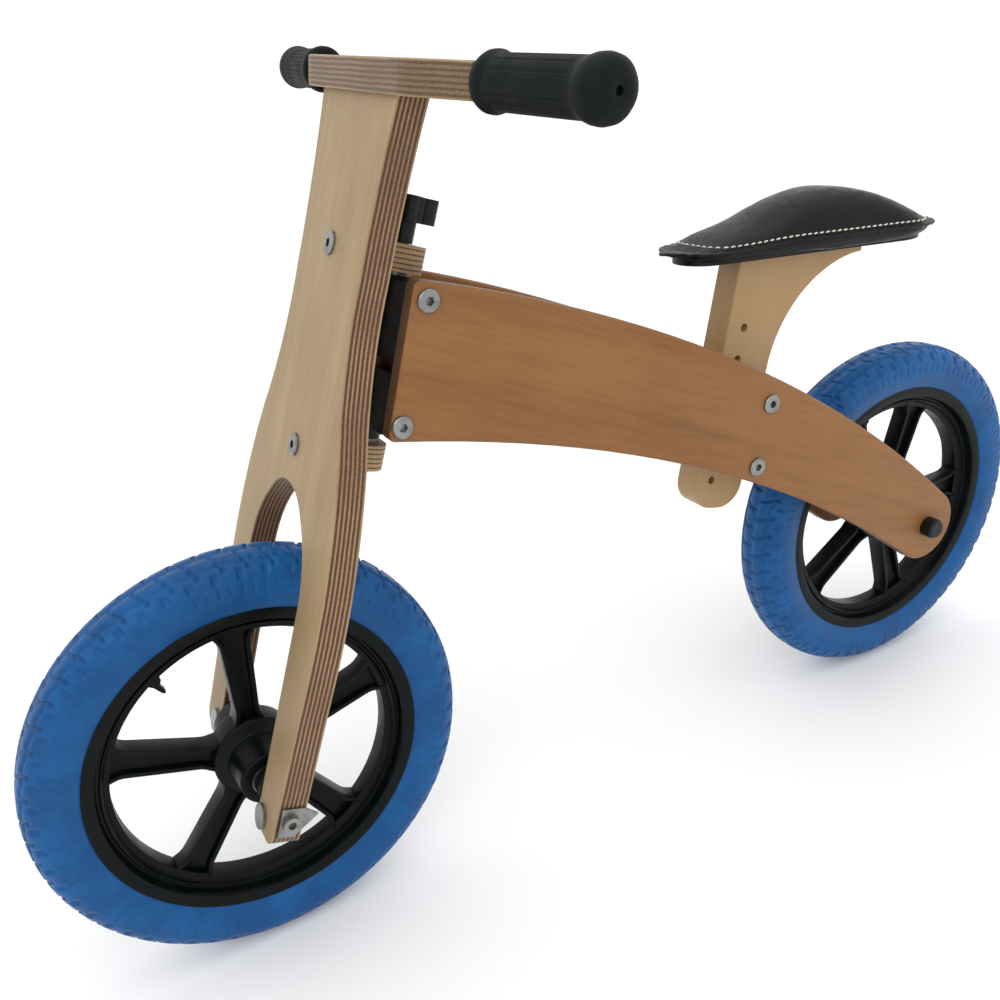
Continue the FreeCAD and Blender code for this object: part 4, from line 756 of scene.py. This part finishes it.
def stuff(piece):
    """Swell a leather cushion over its fixed seam and underside by a cloth simulation."""
    remesh = piece.modifiers.new("remesh", "REMESH")
    remesh.mode = "VOXEL"
    remesh.voxel_size = VOXEL
    worked(piece)
    held = piece.vertex_groups.new(name="held")
    turn = leaned(SADDLE_TILT)
    start = [vertex.co.copy() for vertex in piece.data.vertices]
    for index, point in enumerate(start):
        local = turn @ point
        if local.z < FLOOR_Z + seam_height(local.x) + HELD_MARGIN:
            held.add([index], 1.0, "REPLACE")
    cloth = piece.modifiers.new("cloth", "CLOTH")
    cloth.settings.vertex_group_mass = "held"
    cloth.settings.use_pressure = True
    cloth.settings.uniform_pressure_force = PRESSURE
    cloth.settings.effector_weights.gravity = 0
    cloth.settings.tension_stiffness = 6
    cloth.settings.compression_stiffness = 6
    cloth.settings.bending_stiffness = 0.8
    scene = bpy.context.scene
    for step in range(1, CLOTH_FRAMES + 1):
        scene.frame_set(step)
    worked(piece)
    scene.frame_set(1)
    for vertex, before in zip(piece.data.vertices, start):
        shift = vertex.co - before
        if shift.length > SWELL_CAP:
            vertex.co = before + shift * (SWELL_CAP / shift.length)
    piece.data.polygons.foreach_set("use_smooth", [True] * len(piece.data.polygons))


def saddle_padding():
    """The stuffed leather cushion."""
    cushion = joined("saddle_padding", [cushion_form()], leather, "frame")
    stuff(cushion)
    smooth = cushion.modifiers.new("smooth", "SUBSURF")
    smooth.levels = smooth.render_levels = 1
    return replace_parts(cushion, "saddle_cushion")


def hull_frame(share):
    """A point of the outline and the outward direction there."""
    x, y = hull_point(share % 1.0)
    ahead = Vector(hull_point((share + 0.002) % 1.0))
    behind = Vector(hull_point((share - 0.002) % 1.0))
    along = (ahead - behind).normalized()
    return x, y, Vector((along.y, -along.x))


def seam_lip(material, body):
    """The sewn edge where upper and lower leather meet, with a tab at nose and tail."""
    section = [(-0.0090, -0.0009), (0.0008, -0.0010), (0.0013, -0.0004), (0.0013, 0.0004),
               (0.0008, 0.0010), (-0.0090, 0.0009)]
    verts = []
    for column in range(SEAM_COLUMNS):
        share = column / SEAM_COLUMNS
        x, y, outward = hull_frame(share)
        from_tip = min(share, 1 - share, abs(share - 0.5))
        tab = SEAM_TAB * (1 - smoothstep(from_tip, 0.007, 0.012))
        ripple = 0.0003 * math.sin(share * 2 * math.pi * 61)
        for out, up in section:
            reach = out + (tab if out > 0 else 0)
            verts.append(to_world(x + outward.x * reach, y + outward.y * reach,
                                  FLOOR_Z + seam_height(x) + up + ripple))
    faces = grid_faces(SEAM_COLUMNS, len(section), wrap_rows=True)
    return joined("saddle_seam", [(verts, faces)], material, body)


def stitch(centre, along, up, length):
    """One slanted stitch: a short thread, thicker in its middle."""
    side = along.cross(up).normalized()
    verts = []
    steps = 6
    sides = 8
    for index in range(steps + 1):
        share = index / steps
        thick = STITCH_RADIUS * (0.45 + 0.55 * math.sin(math.pi * share))
        middle = centre + along * (length * (share - 0.5)) + \
            up * (STITCH_RADIUS * (math.sin(math.pi * share) - 0.55))
        for column in range(sides):
            turn = 2 * math.pi * column / sides
            verts.append(middle + (side * math.cos(turn) + up * math.sin(turn)) * thick)
    faces = grid_faces(steps + 1, sides)
    faces += [tuple(range(sides)), tuple(range(len(verts) - 1, len(verts) - sides - 1, -1))]
    return verts, faces


def saddle_stitches(cushion):
    """A row of stitches in the leather just above the seam."""
    bpy.context.view_layer.update()
    tree = BVHTree.FromObject(cushion, bpy.context.evaluated_depsgraph_get())
    parts = []
    spots = []
    for index in range(STITCH_SAMPLES):
        x, y, outward = hull_frame((index + 0.5) / STITCH_SAMPLES)
        high = FLOOR_Z + seam_height(x) + STITCH_RISE
        start = to_world(x + outward.x * STITCH_REACH, y + outward.y * STITCH_REACH, high)
        aim = to_world(x, y, high) - start
        spot, normal, _, _ = tree.ray_cast(start, aim.normalized())
        neighbours = [other for other, _ in spots[-1:] + spots[:1]]
        if all((other - spot).length >= STITCH_SPACING for other in neighbours):
            spots.append((spot, normal))
    count = len(spots)
    for index, (spot, normal) in enumerate(spots):
        before, after = spots[index - 1][0], spots[(index + 1) % count][0]
        pitch = (after - before).length / 2
        along = (after - before).normalized()
        slant = normal.cross(along) * (0.14 if index % 2 else 0.06)
        parts.append(stitch(spot, (along + slant).normalized(), normal, pitch * 0.74))
    return joined("saddle_stitches", parts, stitching, "frame")


padding = saddle_padding()
seam_lip(leather, "frame")
saddle_stitches(padding)


# ----------------------------------------------------------------------------- grips

BAR_TURN = Matrix.Rotation(-BAR_TILT, 4, "Y") @ Matrix.Rotation(-BAR_ROLL, 4, "X")
GRIP_LENGTH = 89.0
GRIP_RADIUS = 13.0
GRIP_BORE = 9.1
GRIP_COLUMNS = 168


def grip_outline():
    """(distance along, radius) of a grip in mm, from the hole in its end round to the bore."""
    outer = [(86.0, 0.0), (86.0, 1.9), (88.4, 2.1), (89.0, 4.0), (88.7, 8.0), (87.2, 11.4),
             (84.4, 13.7), (80.4, 14.6), (76.4, 14.4), (73.2, 13.6), (71.0, GRIP_RADIUS)]
    outer += [(71.0 - step * 0.5, GRIP_RADIUS) for step in range(1, 123)]
    outer += [(9.0, 13.1), (7.6, 13.9), (5.6, 14.6), (3.2, 14.5), (1.2, 13.7), (0.3, 12.2),
              (0.0, 10.6), (0.0, GRIP_BORE), (4.0, GRIP_BORE), (83.0, GRIP_BORE), (83.0, 0.0)]
    return outer


def ribbing(along, turn):
    """Depth in mm of the fine ribs: lengthwise panels of short cross bars."""
    inside = smoothstep(along, 11.0, 12.5) * (1 - smoothstep(along, 67.5, 69.5))
    panel = turn * 14 / (2 * math.pi) % 1.0
    groove = 1 - smoothstep(min(panel, 1 - panel), 0.05, 0.11)
    bar = abs(along / 2.0 % 1.0 - 0.5)
    between = smoothstep(bar, 0.26, 0.40) * smoothstep(abs(panel - 0.5), 0.0, 0.1)
    return inside * max(0.55 * groove, 0.28 * between)


def grip(name, node, side):
    """A rubber grip with a collar, ribs and a rounded end."""
    direction = Vector((-math.sin(BAR_SWEEP), side * math.cos(BAR_SWEEP), 0))
    axis = (BAR_TURN @ direction).normalized()
    upright = (BAR_TURN @ Vector((0, 0, 1))).normalized()
    across = axis.cross(upright)
    frame_turn = Matrix((across, upright, axis)).to_4x4()
    low, high = leaned_box(node, frame_turn)
    middle = (low + high) / 2
    unit = (high.z - low.z) / GRIP_LENGTH
    verts = []
    outline = grip_outline()
    for along, radius in outline:
        for column in range(GRIP_COLUMNS):
            turn = 2 * math.pi * column / GRIP_COLUMNS
            depth = ribbing(along, turn) if radius == GRIP_RADIUS else 0.0
            reach = (radius - depth) * unit
            verts.append(across * (middle.x + reach * math.cos(turn))
                         + upright * (middle.y + reach * math.sin(turn))
                         + axis * (low.z + along * unit))
    piece = joined(name, [(verts, grid_faces(len(outline), GRIP_COLUMNS))], rubber, "fork")
    bm = bmesh.new()
    bm.from_mesh(piece.data)
    bmesh.ops.remove_doubles(bm, verts=bm.verts, dist=1e-6)
    bmesh.ops.recalc_face_normals(bm, faces=bm.faces)
    bm.to_mesh(piece.data)
    bm.free()
    sharpen(piece, 50)
    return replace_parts(piece, node)


grip("ribbed_grip_left", "grip_left", 1)
grip("ribbed_grip_right", "grip_right", -1)


# ------------------------------------------------------------------ stage and camera

CAMERA_PLACE = Vector((0.3731, 0.5326, 0.5580))
CAMERA_TARGET = Vector((0.1454, 0.0, 0.3076))
CAMERA_ROLL = 0.126
LENS = 33.7
SHIFT_X = 0.0765
SHIFT_Y = -0.0211


def set_camera():
    """The camera at the photograph's viewing angle."""
    forward = (CAMERA_TARGET - CAMERA_PLACE).normalized()
    right = forward.cross(Vector((0, 0, 1))).normalized()
    up = right.cross(forward)
    cosine, sine = math.cos(CAMERA_ROLL), math.sin(CAMERA_ROLL)
    rolled_right = right * cosine - up * sine
    rolled_up = right * sine + up * cosine
    basis = Matrix((rolled_right, rolled_up, -forward)).transposed()
    data = bpy.data.cameras.new("camera")
    data.lens = LENS
    data.shift_x = SHIFT_X
    data.shift_y = SHIFT_Y
    data.clip_start = 0.01
    camera = bpy.data.objects.new("camera", data)
    camera.matrix_world = Matrix.Translation(CAMERA_PLACE) @ basis.to_4x4()
    bpy.context.scene.collection.objects.link(camera)
    bpy.context.scene.camera = camera


def set_floor():
    """A wide pale floor."""
    mesh = bpy.data.meshes.new("floor")
    reach = 6.0
    mesh.from_pydata([(-reach, -reach, 0), (reach, -reach, 0), (reach, reach, 0),
                      (-reach, reach, 0)], [], [(0, 1, 2, 3)])
    mesh.materials.append(studio_white("pale_floor", 0.92))
    floor = bpy.data.objects.new("floor", mesh)
    bpy.context.scene.collection.objects.link(floor)


def add_light(name, place, target, size, power):
    """A soft square light aimed at a point."""
    data = bpy.data.lights.new(name, "AREA")
    data.size = size
    data.energy = power
    light = bpy.data.objects.new(name, data)
    light.location = place
    light.rotation_euler = (Vector(target) - Vector(place)).to_track_quat("-Z", "Y").to_euler()
    bpy.context.scene.collection.objects.link(light)


def set_light():
    """Soft studio light: bright surround, a key from the front left and a light above."""
    world = bpy.data.worlds.new("studio")
    world.use_nodes = True
    background = world.node_tree.nodes["Background"]
    background.inputs["Color"].default_value = (1, 1, 1, 1)
    background.inputs["Strength"].default_value = 1.12
    bpy.context.scene.world = world
    bpy.context.scene.view_settings.view_transform = "Standard"
    add_light("key", (1.6, 1.8, 2.2), (0, 0, 0.3), 1.6, 12)
    add_light("top", (-0.3, 0.2, 2.6), (0, 0, 0.3), 1.8, 12)


set_camera()
set_floor()
set_light()
